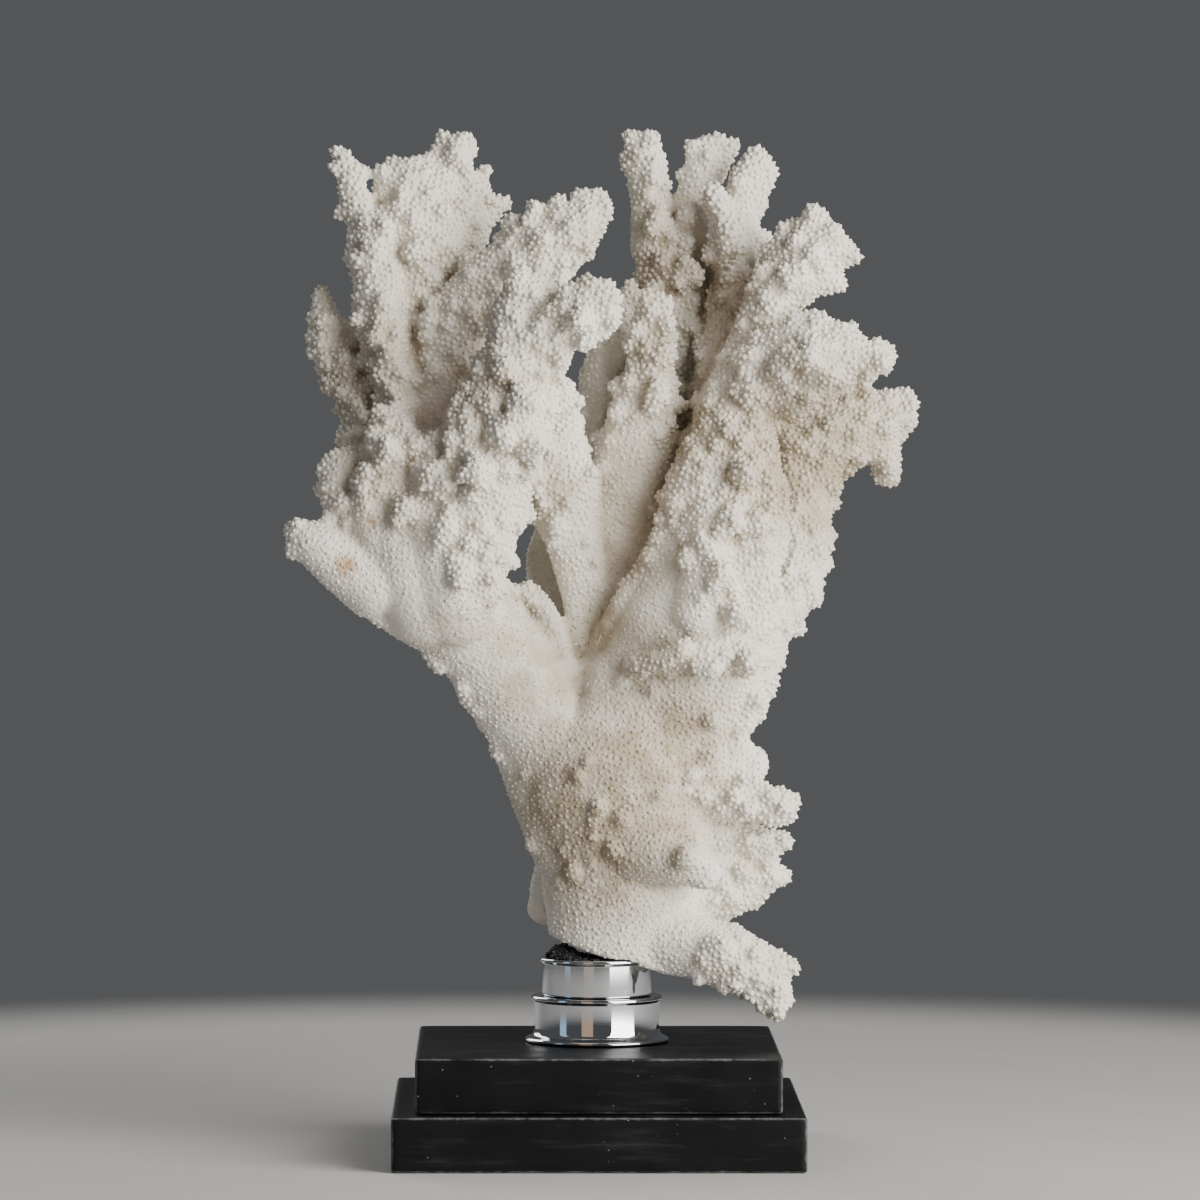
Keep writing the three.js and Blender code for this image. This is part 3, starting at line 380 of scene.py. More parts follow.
        [(86, 156, -8, 5), (95, 159, -8, 3.2)], [(84, 152, -8, 5), (93, 151, -8, 3.4)],
        [(82, 140, -4, 6), (92, 144, -4, 3.8)], [(82, 136, -4, 6), (92, 134, -4, 3.8)],
        [(74, 130, -2, 6), (80, 125, -2, 3.8)],
    ],
    "coral_base_prong": [
        [(70, 104, -24, 8), (74, 112, -25, 4.4)], [(84, 96, -24, 7), (92, 101, -25, 4)],
        [(86, 90, -24, 7), (97, 92, -25, 4)], [(86, 82, -25, 7), (96, 80, -26, 4)],
        [(84, 76, -25, 6), (92, 69, -26, 4)], [(62, 102, -34, 8), (64, 106, -40, 5)],
    ],
    "coral_rear_right_limb": [
        [(150, 376, 92, 5), (152, 383, 92, 3.2)], [(144, 374, 92, 6), (146, 383, 92, 3.2)],
        [(152, 372, 92, 5), (159, 378, 92, 3.2)], [(152, 368, 94, 5), (160, 369, 96, 3.2)],
        [(148, 360, 93, 6), (156, 360, 94, 3.6)], [(144, 350, 92, 6), (153, 348, 92, 3.6)],
        [(146, 342, 92, 5), (150, 335, 92, 3.6)], [(142, 340, 92, 5), (141, 333, 92, 3.2)],
        [(138, 398, 101, 5), (143, 407, 102, 3)], [(134, 394, 100, 5), (135, 405, 101, 3)],
        [(142, 400, 100, 5), (150, 396, 101, 3)], [(106, 330, 74, 7), (113, 330, 76, 4)],
        [(104, 306, 68, 7), (111, 304, 70, 4)], [(96, 284, 60, 7), (104, 280, 62, 4)],
        [(86, 262, 48, 7), (94, 258, 50, 4)], [(82, 236, 38, 6), (89, 240, 38, 4)],
        [(84, 232, 38, 6), (88, 226, 38, 4)],
    ],
    "coral_trunk": [
        [(72, 214, -20, 8), (80, 214, -22, 5)], [(70, 202, -20, 8), (79, 204, -22, 5)],
        [(66, 190, -18, 8), (75, 188, -20, 5)], [(54, 142, -38, 6), (58, 138, -42, 4)],
        [(44, 148, -44, 7), (44, 152, -49, 4.5)],
    ],
}

# Hollows seen from the eye, as (across, up, radius, depth): small holes, and the deep fork
HOLLOWS = (
    (72.3, 379.3, 2.2, 3.5), (78.8, 376.3, 2.0, 3.5), (40.6, 259.4, 1.5, 3.0),
    (44.4, 259.8, 1.5, 3.0), (-113.7, 314.8, 2.0, 2.5), (-99.5, 306.0, 1.6, 2.5),
    (-3.0, 272.0, 7.5, 6.0), (-4.5, 260.0, 6.0, 8.0), (-6.0, 249.0, 4.8, 8.0),
    (-7.8, 239.0, 4.0, 7.0), (-9.4, 230.0, 3.5, 5.5), (-11.0, 222.0, 3.2, 3.5),
)

# Painted spots reach this far back, unless a spot ends in a limit of its own
SPOT_BACK_LIMIT = 60

# Rust stains: (across, up, radius, strength)
RUST_SPOTS = (
    (-126, 293, 5.5, 1.0), (-114, 315, 3.2, 0.8), (100, 268, 4, 0.2), (59, 186, 4, 0.35),
    (78, 142, 5, 0.35), (66, 338, 3.5, 0.3),
)

# How knobbly each limb is, from its root to its tip: 0 is smooth and pitted, 1 is all nubs
KNOBBLY = {
    "coral_trunk": (0.46, 0.46),
    "coral_upper_side_prong": (0.75, 1.0),
    "coral_lower_side_prongs": (0.5, 0.95),
    "coral_base_prong": (0.35, 1.0),
    "coral_left_palm": (0.2, 0.85),
    "coral_left_front_finger": (0.75, 1.0),
    "coral_left_outer_finger": (0.8, 1.0),
    "coral_left_fan": (0.7, 1.0),
    "coral_left_comb": (0.6, 1.0),
    "coral_middle_left_finger": (0.4, 0.75),
    "coral_middle_finger": (0.12, 1.0),
    "coral_middle_rear_finger": (0.25, 0.8),
    "coral_rear_left_finger": (0.6, 0.6),
    "coral_tall_fingers": (0.35, 1.0),
    "coral_right_middle_fingers": (0.35, 1.0),
    "coral_right_upper_finger": (0.45, 1.0),
    "coral_right_side_finger": (0.7, 1.0),
    "coral_front_ridge": (0.45, 0.95),
    "coral_rear_right_limb": (0.6, 1.0),
    "coral_rear_fan_fingers": (0.6, 1.0),
    "coral_rear_crown_finger": (0.6, 1.0),
    "coral_rear_prongs": (0.6, 1.0),
}

# Underside where the coral was broken off: planes given by two places of (across, up)
UNDERSIDE = (((-60, 128), (-25, 109)), ((-25, 109), (1, 99.5)), ((1, 99.5), (60, 84)))

# The middle of the trunk, which every limb grows away from
HEART = np.array((14.0, 0.0, 200.0))

# Where the coral is rougher or smoother than its limb: (across, up, radius, value)
KNOBBLY_SPOTS = (
    (-30, 236, 24, 0.0), (-12, 262, 14, 0.05), (-52, 252, 18, 0.0), (-72, 262, 14, 0.08),
    (-112, 276, 8, 0.1), (30, 270, 16, 0.25), (74, 300, 18, 1.0), (80, 330, 14, 1.0),
    (76, 262, 14, 1.0), (72, 220, 12, 1.0), (40, 118, 16, 0.12), (20, 128, 14, 0.25),
    (-2, 160, 20, 0.6), (-134, 300, 14, 0.2), (-30, 122, 10, 0.0), (-92, 270, 14, 0.0),
    (16, 262, 12, 0.2),
)

# Where the coral is creamier, partly from real stains and partly as painted shade where limbs lie
# in shadow, as in the deep fork and on the rear right limb: (across, up, radius, value)
STAIN_AND_SHADE_SPOTS = (
    (17, 300, 18, 0.7), (2, 262, 16, 0.9), (-20, 330, 14, 0.6), (40, 212, 24, 0.9),
    (12, 190, 34, 1.0), (-14, 176, 26, 1.0), (6, 146, 30, 1.0), (36, 158, 18, 0.8),
    (-20, 206, 16, 0.7), (28, 245, 18, 0.8), (-46, 260, 20, 0.6), (-28, 238, 24, 0.85),
    (-76, 262, 14, 0.6), (-108, 322, 22, 0.2), (-104, 400, 20, 0.35), (-60, 388, 20, 0.3),
    (-128, 380, 20, 0.5), (22, 450, 26, 0.6), (30, 400, 16, 0.5), (48, 360, 16, 0.8),
    (60, 430, 18, 0.6), (20, 330, 20, 0.6), (38, 300, 14, 0.25), (110, 350, 40, 0.9, 120),
)

# How a limb's skin is drawn: steps per stretch, space between rings, and its rounded ends
CURVE_STEPS = 24
LIMB_RING_STEP = 3.0
LIMB_SIDES = 28
CAP_RINGS = 5
CAP_REACH = 0.85
TWIG_TIP = 1.05
TWIG_FLATNESS = 0.9

# How much thinner the knobbliest limbs are drawn, to leave room for what grows on them, and
# the knobbliness at which that starts
KNOBBLY_TRIM = 1.8
SMOOTH_SHARE = 0.25

# How the skin is eased: after it is fused, and where its notes are read from the limbs
SOFTEN_STEPS = 2
KNOBBLY_BLUR = 5
STAIN_AND_SHADE_BLUR = 4
GROWTH_BLUR = 6
HOLLOW_BLUR = 14
HOLLOW_FULL_DEPTH = 1.6

# How far a bored hollow reaches past its radius and into the coral
HOLLOW_EDGE = 1.6
HOLLOW_REACH = 26.0
BORE_BLUR = 2

# How far a painted spot reaches, over its radius
SPOT_EDGE = 1.5

# The broken underside is smooth: how near it the skin counts, and how far out
UNDERSIDE_NEAR = 2.0
UNDERSIDE_REACH = 34.0
UNDERSIDE_KNOBBLY = 0.1

# Where the skin is parted between nodes: rounds in which stray islands join what is around
# them, how deep each open edge turns in, and how the core under it is eased
LABEL_ROUNDS = 6
SEAM_DEPTH = 1.5
CORE_EASING = 6

# Most swellings, nubs and grains in a square metre
CLUSTER_DENSITY = 40000.0
NUB_DENSITY = 500000.0
GRAIN_DENSITY = 2000000.0

# How deep a nub sits in the skin, over its radius
NUB_SINK = 0.3

# Room between the coral and the model's box: of the nubs, and of the skin that carries them
BOX_MARGIN = 0.1
NUB_ROOM = 1.6
BOX_EASING = 4.0

# Room between the coral and the cup's rim, and how the coral slopes down past the rim
SKIN_GAP = 0.8
NUB_GAP = 0.4
RIM_SLOPE = 1.6
RIM_REACH = 8.0

# What is written on each corner of the coral for its material to read; some of these notes mark
# where the material paints shade
CORAL_NOTES = ("nub", "knobbly", "hollow", "stain", "rust")

# Space between the seeds of the draws in one tree
SEED_STEP = 7

# Stand sizes
LOWER_SLAB_SIDE = 203.0
UPPER_SLAB_SIDE = 180.0
SLAB_HEIGHT = 27.4
TOUCH_GAP = 0.3
UPPER_SLAB_BOTTOM = SLAB_HEIGHT + TOUCH_GAP
PLINTH_TOP = UPPER_SLAB_BOTTOM + SLAB_HEIGHT
RING_BOTTOM = PLINTH_TOP + TOUCH_GAP
RING_HEIGHT = 23.2
CUP_BOTTOM = RING_BOTTOM + RING_HEIGHT + TOUCH_GAP
CUP_HEIGHT = 18.6
CUP_TOP = CUP_BOTTOM + CUP_HEIGHT
CUP_RIM_RADIUS = 28.6
CUP_INSIDE_RADIUS = 25.6
TURNED_SIDES = 128
EDGE_BREAK = 0.5
WELD_DISTANCE = 0.01
CORNER_STEPS = 5
BLOCK_STEPS = 30
EDGE_CROWDING = 1.7
WAVER_LENGTH = 90.0
WAVER_COUNT = 9

# The grit: its level under the rim, its floor over the cup's underside, its room to the
# cup's wall, and its heap as (across, back, height, spread)
GRIT_LEVEL = 0.6
GRIT_FLOOR = 3.4
GRIT_SIDE_GAP = 0.5
HEAP = (-18.0, -6.0, 7.0, 90.0)
HEAP_RINGS = 22
HEAP_SIDES = 72
GRIT_SEED = 11

# Outlines of the two turned pieces as (radius, height) from their own undersides
RING_OUTLINE = (
    (0, 0), (35.2, 0), (36, 0.7), (36, 1.5), (35.2, 2.3), (33.6, 2.9), (32.4, 3.6), (31.7, 4.8),
    (31.4, 6.6), (31.4, 20.3), (32.1, 20.8), (32.8, 21.3), (32.8, 22.4), (32.1, 23.2), (27.9, 23.2),
    (0, 23.2),
)
CUP_OUTLINE = (
    (0, 0), (27.4, 0), (27.4, 16.0), (28.1, 16.7), (28.6, 17.1), (28.6, 18.1), (28.0, 18.6),
    (26.1, 18.6), (25.6, 18.1), (25.6, 3.0), (0, 3.0),
)

# Camera: focal length and frame in pixels, and its yaw, pitch and roll in degrees
FOCAL_PIXELS = 6873.0
FRAME_PIXELS = 1200.0
CAMERA_ANGLES = (0.747, -1.627, 0.082)

# Soft lights in metres: (name, place, height aimed at, size, colour, setting of its power)
LIGHTS = (
    ("key", (1.16, -1.02, 0.62), 0.28, (1.4, 1.9), (1.0, 0.975, 0.94), "key_power"),
    ("warm_strip", (-0.5, -1.55, 0.3), 0.28, (0.6, 1.5), (1.0, 0.62, 0.38), "fill_power"),
    ("cool_strip", (-1.5, -0.7, 0.4), 0.3, (0.4, 1.6), (0.5, 0.75, 1.0), "fill_power"),
    ("back_fill", (-1.1, 1.5, 0.9), 0.28, (0.9, 1.2), (1.0, 1.0, 1.0), "back_power"),
)
FLOOR_HALF_SIDE = 3.0
SKY = (0.95, 0.97, 1.0, 1.0)


# Settings


def length_setting(name, description, default, least):
    return bpy.props.FloatProperty(
        name=name, description=description, default=default, min=least, unit="LENGTH")


def power_setting(name, description, default):
    return bpy.props.FloatProperty(
        name=name, description=description, default=default, min=0.0, unit="POWER")


def colour_setting(name, description, default):
    return bpy.props.FloatVectorProperty(
        name=name, description=description, default=default, subtype="COLOR", size=3,
        min=0.0, max=1.0)


class CoralSettings(bpy.types.PropertyGroup):
    """Sizes and colours of the coral skeleton."""

    fine_step: length_setting(
        "Skin Step", "Size of the squares that the coral's skin is grown in", 0.0019, 0.0005)
    cluster_spacing: length_setting(
        "Cluster Spacing", "Distance between swellings that carry the nubs", 0.0075, 0.003)
    cluster_size: length_setting(
        "Cluster Size", "Radius of the largest swellings", 0.0054, 0.001)
    nub_spacing: length_setting(
        "Nub Spacing", "Distance between neighbouring nubs", 0.00268, 0.001)
    nub_size: length_setting("Nub Size", "Radius of the largest nubs", 0.00185, 0.0002)
    seed: bpy.props.IntProperty(
        name="Seed", description="Which arrangement of nubs grows", default=7, min=0)
    white: colour_setting("White", "Colour of the bare skeleton", (0.90, 0.86, 0.775))
    # Cream serves the real stains and the painted shade between nubs, in hollows and in shadowed
    # forks
    cream: colour_setting("Cream", "Colour of stains and between nubs", (0.42, 0.355, 0.255))
    # The pit colour is painted shade at the bottom of the fine pits
    pit: colour_setting("Pit", "Colour at the bottom of the fine pits", (0.20, 0.15, 0.10))


class StandSettings(bpy.types.PropertyGroup):
    """Sizes and colours of the plinth, the collar and the bedding."""

    edge_radius: length_setting(
        "Edge Radius", "How round the slabs' sanded edges are", 0.0015, 0.0002)
    edge_waver: length_setting(
        "Edge Waver", "How far the hand-sanded faces leave a true plane", 0.00018, 0.0)
    grain_spacing: length_setting(
        "Grain Spacing", "Distance between grains of the bedding", 0.0015, 0.0005)
    grain_size: length_setting(
        "Grain Size", "Size of the largest grains of the bedding", 0.0014, 0.0002)
    paint: colour_setting("Paint", "Colour of the black paint", (0.003, 0.0032, 0.004))
    rubbed: colour_setting(
        "Rubbed Edge", "Colour where the paint is rubbed at the edges", (0.13, 0.135, 0.14))
    chrome: colour_setting("Chrome", "Colour of the polished collar", (0.61, 0.63, 0.66))
    grit: colour_setting("Grit", "Colour of the bedding's grains", (0.010, 0.010, 0.011))


class StageSettings(bpy.types.PropertyGroup):
    """The floor's colour and the strength of the lights."""

    floor: colour_setting("Floor", "Colour of the floor", (0.56, 0.55, 0.53))
    key_power: power_setting("Key Light", "Power of the large soft light on the right", 80.0)
    fill_power: power_setting("Fill Light", "Power of each narrow light on the left", 1.6)
    back_power: power_setting("Back Light", "Power of the soft light behind the object", 14.0)
    surround: bpy.props.FloatProperty(
        name="Surround", description="Brightness of the room around the object",
        default=0.10, min=0.0)


# Shared helpers


def new_object(name, data):
    """An object in the scene with this mesh, lamp or camera."""
    made = bpy.data.objects.new(name, data)
    bpy.context.scene.collection.objects.link(made)
    return made


def own_piece(name, mesh, material, slot, *nodes):
    """Places a finished mesh on the root body, in the stead of its solids."""
    piece = new_object(name, mesh)
    mesh.materials.clear()
    mesh.materials.append(material)
    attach(piece, "root")
    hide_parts(*nodes)
    return piece


def mesh_of(name, places, faces):
    """A smooth-shaded mesh from places in metres and the vertices of each face."""
    mesh = bpy.data.meshes.new(name)
    mesh.from_pydata([tuple(p) for p in places], [], [tuple(f) for f in faces])
    mesh.polygons.foreach_set("use_smooth", [True] * len(mesh.polygons))
    mesh.update()
    return mesh


def read_rows(items, name, width, kind=np.float32):
    """One property of every item in a mesh's list, as rows of this width."""
    values = np.empty(len(items) * width, kind)
    items.foreach_get(name, values)
    return values.reshape(-1, width)


def read_places(mesh):
    return read_rows(mesh.vertices, "co", 3)


def read_normals(mesh):
    return read_rows(mesh.vertex_normals, "vector", 3)


def read_edges(mesh):
    return read_rows(mesh.edges, "vertices", 2, np.int32)


def read_faces(mesh, sides):
    """The vertices of every face of a mesh whose faces all have this many sides."""
    if len(mesh.loops) != sides * len(mesh.polygons):
        raise RuntimeError(f"{mesh.name} should have faces with {sides} sides only")
    return read_rows(mesh.loops, "vertex_index", 1, np.int32).reshape(-1, sides)


def read_attribute(mesh, name, kind=np.float32):
    return read_rows(mesh.attributes[name].data, "value", 1, kind).ravel()


def write_places(mesh, places):
    """Moves the vertices of a mesh to places given in millimetres."""
    mesh.vertices.foreach_set("co", (places * MM).astype(np.float32).ravel())
    mesh.update()


def write_attribute(mesh, name, values, kind="FLOAT", domain="POINT"):
    layer = mesh.attributes.new(name, kind, domain)
    values = np.ascontiguousarray(values, np.int32 if kind == "INT" else np.float32)
    layer.data.foreach_set("vector" if kind == "FLOAT_VECTOR" else "value", values.ravel())


def closed_faces(rings, sides):
    """Faces of a skin of rings of vertices, closed at each end by one vertex after them."""
    faces = []
    for ring in range(rings - 1):
        for side in range(sides):
            a, b = ring * sides + side, ring * sides + (side + 1) % sides
            faces.append((a, b, b + sides, a + sides))
    start, finish, tail = rings * sides, rings * sides + 1, (rings - 1) * sides
    for side in range(sides):
        after = (side + 1) % sides
        faces.append((start, after, side))
        faces.append((finish, tail + side, tail + after))
    return faces


def evaluated_mesh(source):
    """The mesh that an object has after its modifiers."""
    bpy.context.view_layer.update()
    graph = bpy.context.evaluated_depsgraph_get()
    return bpy.data.meshes.new_from_object(source.evaluated_get(graph), depsgraph=graph)


class Nodes:
    """Adds and links the nodes of one tree in few words."""

    def __init__(self, tree):
        self.tree = tree
        self.draws = 0

    def add(self, kind, inputs=None, **settings):
        node = self.tree.nodes.new(kind)
        for key, value in settings.items():
            setattr(node, key, value)
        self.feed(node, inputs or {})
        return node

    def feed(self, node, inputs):
        """Sets or links the inputs of a node, each given by its name or number."""
        for key, value in inputs.items():
            socket = node.inputs[key]
            if isinstance(value, bpy.types.NodeSocket):
                self.tree.links.new(value, socket)
            elif isinstance(value, tuple) and len(value) == 3 and socket.type == "RGBA":
                socket.default_value = (*value, 1.0)
            else:
                socket.default_value = value

    def math(self, operation, *values, clamp=False):
        return self.add("ShaderNodeMath", dict(enumerate(values)),
                        operation=operation, use_clamp=clamp).outputs[0]

    def plus(self, one, other, clamp=False):
        return self.math("ADD", one, other, clamp=clamp)

    def minus(self, one, other):
        return self.math("SUBTRACT", one, other)

    def times(self, one, other):
        return self.math("MULTIPLY", one, other)

    def vector(self, operation, inputs, output=0):
        return self.add("ShaderNodeVectorMath", inputs, operation=operation).outputs[output]

    def fade(self, value, low, high, to_low=0.0, to_high=1.0):
        """Value from low to high becomes to_low to to_high along a soft curve."""
        ends = dict(enumerate((value, low, high, to_low, to_high)))
        return self.add("ShaderNodeMapRange", ends, interpolation_type="SMOOTHSTEP").outputs[0]

    def mix(self, factor, one, other):
        return self.add("ShaderNodeMix", {0: factor, 6: one, 7: other}, data_type="RGBA").outputs[2]

    def on_object(self):
        """Where a shaded spot is on its object, in metres."""
        return self.add("ShaderNodeTexCoord").outputs["Object"]

    def noise(self, vector, scale, detail=2.0, roughness=0.5):
        return self.add("ShaderNodeTexNoise", {
            "Vector": vector, "Scale": scale, "Detail": detail, "Roughness": roughness}).outputs[0]

    def stretched(self, vector, scale):
        return self.add("ShaderNodeMapping", {"Vector": vector, "Scale": scale}).outputs[0]

    def cells(self, vector, scale, feature="F1"):
        return self.add("ShaderNodeTexVoronoi", {"Vector": vector, "Scale": scale}, feature=feature)

    def bump(self, height, strength, distance):
        return self.add("ShaderNodeBump", {
            "Height": height, "Strength": strength, "Distance": distance}).outputs[0]

    def attribute(self, name, kind="FLOAT"):
        return self.add("GeometryNodeInputNamedAttribute", {"Name": name},
                        data_type=kind).outputs[0]

    def chance(self, low, high, seed):
        """A number between low and high, drawn anew for every point."""
        self.draws += 1
        seed = self.plus(seed, float(SEED_STEP * self.draws))
        return self.add("FunctionNodeRandomValue", {"Seed": seed, 2: low, 3: high},
                        data_type="FLOAT").outputs[1]


def new_group(name, kind, inputs, outputs):
    """An empty node group with these sockets, its input and output nodes."""
    tree = bpy.data.node_groups.new(name, kind)
    for way, sockets in (("INPUT", inputs), ("OUTPUT", outputs)):
        for label, socket_kind in sockets.items():
            tree.interface.new_socket(label, in_out=way, socket_type="NodeSocket" + socket_kind)
    return tree, tree.nodes.new("NodeGroupInput"), tree.nodes.new("NodeGroupOutput")


def new_material(name, **constants):
    """A material with its nodes emptied but for the shader, which gets these constants."""
    material = bpy.data.materials.new(name)
    material.use_nodes = True
    nodes = Nodes(material.node_tree)
    material.node_tree.nodes.clear()
    shader = nodes.add("ShaderNodeBsdfPrincipled", constants)
    output = nodes.add("ShaderNodeOutputMaterial")
    material.node_tree.links.new(shader.outputs[0], output.inputs["Surface"])
    return material, nodes, shader


# Shader groups


def granule_group():
    """Fine granules and a grain over them, as a height, and the pits between."""
    tree, source, result = new_group(
        "Coral Granules", "ShaderNodeTree", {"Granule": "Float", "Pit": "Float"},
        {"Height": "Float", "Pits": "Float", "Cloud": "Float"})
    nodes = Nodes(tree)
    place = nodes.on_object()
    wander = nodes.add("ShaderNodeTexNoise", {"Vector": place, "Scale": 300.0}).outputs[1]
    wander = nodes.vector("SCALE", {0: wander, "Scale": 0.0012})
    bent = nodes.vector("ADD", {0: place, 1: wander})
    granules = nodes.cells(bent, source.outputs["Granule"], "SMOOTH_F1").outputs["Distance"]
    grain = nodes.noise(place, 2600.0, 3.0, 0.6)
    height = nodes.minus(nodes.times(grain, 0.35), granules)
    pit_cells = nodes.cells(place, source.outputs["Pit"]).outputs["Distance"]
    pits = nodes.fade(pit_cells, 0.10, 0.24, 1.0, 0.0)
    cloud = nodes.noise(place, 34.0, 4.0, 0.55)
    nodes.feed(result, {"Height": height, "Pits": pits, "Cloud": cloud})
    return tree


def speck_group():
    """Scattered specks and faint scuffs for painted surfaces."""
    name = "Specks and Scuffs"
    if name in bpy.data.node_groups:
        return bpy.data.node_groups[name]
    tree, source, result = new_group(
        name, "ShaderNodeTree", {"Amount": "Float"}, {"Specks": "Float", "Scuffs": "Float"})
    nodes = Nodes(tree)
    place = nodes.on_object()
    cells = nodes.cells(place, 420.0)
    chosen = nodes.add("ShaderNodeSeparateColor", {"Color": cells.outputs["Color"]}).outputs[0]
    kept = nodes.math("GREATER_THAN", chosen, nodes.minus(1.0, source.outputs["Amount"]))
    dots = nodes.fade(cells.outputs["Distance"], 0.07, 0.16, 1.0, 0.0)
    gathered = nodes.fade(nodes.noise(place, 16.0, 3.0), 0.42, 0.62)
    specks = nodes.times(nodes.times(dots, kept), gathered)
    streaks = nodes.stretched(place, (14.0, 60.0, 120.0))
    scuffs = nodes.fade(nodes.noise(streaks, 1.0, 5.0, 0.65), 0.5, 0.78)
    nodes.feed(result, {"Specks": specks, "Scuffs": scuffs})
    return tree


# Materials


def coral_material(settings):
    """White lime skeleton with real stains and rust: bright nubs with painted shade between them,
    painted shade in its cream hollows, and fine pits with painted shade where it is smooth.
    """
    material, nodes, shader = new_material("coral_skeleton", **{"Specular IOR Level": 0.3})
    nub, rough, hollow, stain, rust = (
        nodes.add("ShaderNodeAttribute", attribute_name=note).outputs["Fac"]
        for note in CORAL_NOTES)
    place = nodes.on_object()
    fine = nodes.add("ShaderNodeGroup", {"Granule": 480.0, "Pit": 430.0}, node_tree=granule_group())
    white, cream, pit = tuple(settings.white), tuple(settings.cream), tuple(settings.pit)
    # Painted shade between the nubs: darkest at each nub's foot and on the skin where nubs crowd
    shade_between_nubs = nodes.times(nodes.minus(1.0, nub), nodes.fade(rough, 0.3, 0.8))
    cloud = nodes.fade(fine.outputs["Cloud"], 0.42, 0.68)
    stain_and_shade_share = nodes.plus(nodes.times(shade_between_nubs, 0.24), nodes.times(cloud, 0.12))
    # Painted shade in the hollows of the skin
    stain_and_shade_share = nodes.plus(stain_and_shade_share, nodes.fade(hollow, 0.1, 1.0, 0.0, 0.36))
    # Mottled real stains, together with the painted shade that the same spots carry where limbs lie
    # in shadow
    blotch = nodes.fade(nodes.noise(place, 75.0, 4.0, 0.6), 0.36, 0.6, 0.6, 1.0)
    stain_and_shade_share = nodes.plus(stain_and_shade_share, nodes.times(stain, blotch), clamp=True)
    colour = nodes.mix(stain_and_shade_share, white, cream)
    green = nodes.fade(nodes.noise(place, 22.0, 3.0), 0.5, 0.75, 0.0, 0.3)
    colour = nodes.mix(green, colour, (0.64, 0.65, 0.57))
    crumbled = nodes.fade(nodes.noise(place, 520.0, 3.0, 0.7), 0.34, 0.54)
    colour = nodes.mix(nodes.times(rust, crumbled), colour, (0.50, 0.31, 0.16))
    # Painted shade at the bottom of the fine pits where the skin is smooth, with a bump that sinks
    # them
    smooth = nodes.fade(rough, 0.15, 0.6, 1.0, 0.12)
    freckled = nodes.fade(nodes.noise(place, 60.0, 2.0), 0.38, 0.6)
    pits = nodes.times(nodes.times(fine.outputs["Pits"], smooth), freckled)
    colour = nodes.mix(nodes.times(pits, 0.75), colour, pit)
    height = nodes.minus(fine.outputs["Height"], nodes.times(pits, 0.8))
    nodes.feed(shader, {
        "Base Color": colour, "Roughness": nodes.fade(nub, 0.0, 1.0, 0.95, 0.78),
        "Normal": nodes.bump(height, 0.85, 0.0012)})
    return material


def paint_material(name, settings, half_side, low, high):
    """Satin black paint, rubbed pale along the slab's edges, with specks and faint scuffs."""
    material, nodes, shader = new_material(name, **{"Specular IOR Level": 0.16})
    place = nodes.on_object()
    split = nodes.add("ShaderNodeSeparateXYZ", {"Vector": place})
    gap_x = nodes.minus(half_side, nodes.math("ABSOLUTE", split.outputs[0]))
    gap_y = nodes.minus(half_side, nodes.math("ABSOLUTE", split.outputs[1]))
    from_middle = nodes.math("ABSOLUTE", nodes.minus(split.outputs[2], (low + high) / 2))
    gap_z = nodes.minus((high - low) / 2, from_middle)
    pairs = [nodes.math("MAXIMUM", a, b)
             for a, b in ((gap_x, gap_y), (gap_y, gap_z), (gap_x, gap_z))]
    nearest = nodes.math("MINIMUM", nodes.math("MINIMUM", pairs[0], pairs[1]), pairs[2])
    ragged = nodes.plus(nearest, nodes.times(
        nodes.minus(nodes.noise(place, 240.0, 4.0, 0.65), 0.5), 0.0022))
    edge = nodes.fade(ragged, 0.0003, 0.0014, 1.0, 0.0)
    broken = nodes.fade(nodes.noise(place, 60.0, 3.0), 0.30, 0.5, 0.25, 1.0)
    edge = nodes.times(edge, broken)
    marks = nodes.add("ShaderNodeGroup", {"Amount": 0.10}, node_tree=speck_group())
    colour = nodes.mix(nodes.times(edge, 0.8), tuple(settings.paint), tuple(settings.rubbed))
    colour = nodes.mix(nodes.times(marks.outputs["Scuffs"], 0.16), colour, (0.11, 0.115, 0.12))
    colour = nodes.mix(nodes.times(marks.outputs["Specks"], 0.7), colour, (0.42, 0.42, 0.41))
    patchy = nodes.noise(place, 30.0, 5.0, 0.6)
    roughness = nodes.fade(patchy, 0.3, 0.7, 0.36, 0.54)
    roughness = nodes.plus(roughness, nodes.times(marks.outputs["Scuffs"], 0.12))
    grain = nodes.stretched(place, (60.0, 900.0, 900.0))
    height = nodes.plus(nodes.noise(grain, 1.0, 4.0, 0.6),
                        nodes.times(nodes.noise(place, 1400.0, 2.0), 0.35))
    nodes.feed(shader, {
        "Base Color": colour, "Roughness": roughness, "Normal": nodes.bump(height, 0.18, 0.0003)})
    return material


def chrome_material(settings):
    """Polished chrome with finger marks and fine turning lines."""
    material, nodes, shader = new_material("polished_chrome", Metallic=1.0)
    place = nodes.on_object()
    smears = nodes.fade(nodes.noise(place, 70.0, 5.0, 0.6), 0.5, 0.8)
    spots = nodes.fade(nodes.cells(place, 260.0).outputs["Distance"], 0.05, 0.16, 1.0, 0.0)
    spots = nodes.times(spots, nodes.fade(nodes.noise(place, 40.0, 2.0), 0.55, 0.7))
    colour = nodes.mix(nodes.times(smears, 0.25), tuple(settings.chrome), (0.55, 0.57, 0.6))
    roughness = nodes.plus(nodes.times(smears, 0.06), 0.02)
    roughness = nodes.plus(roughness, nodes.times(spots, 0.25))
    lines = nodes.noise(nodes.stretched(place, (8.0, 8.0, 2600.0)), 1.0, 2.0)
    nodes.feed(shader, {
        "Base Color": colour, "Roughness": roughness, "Normal": nodes.bump(lines, 0.02, 0.0001)})
    return material


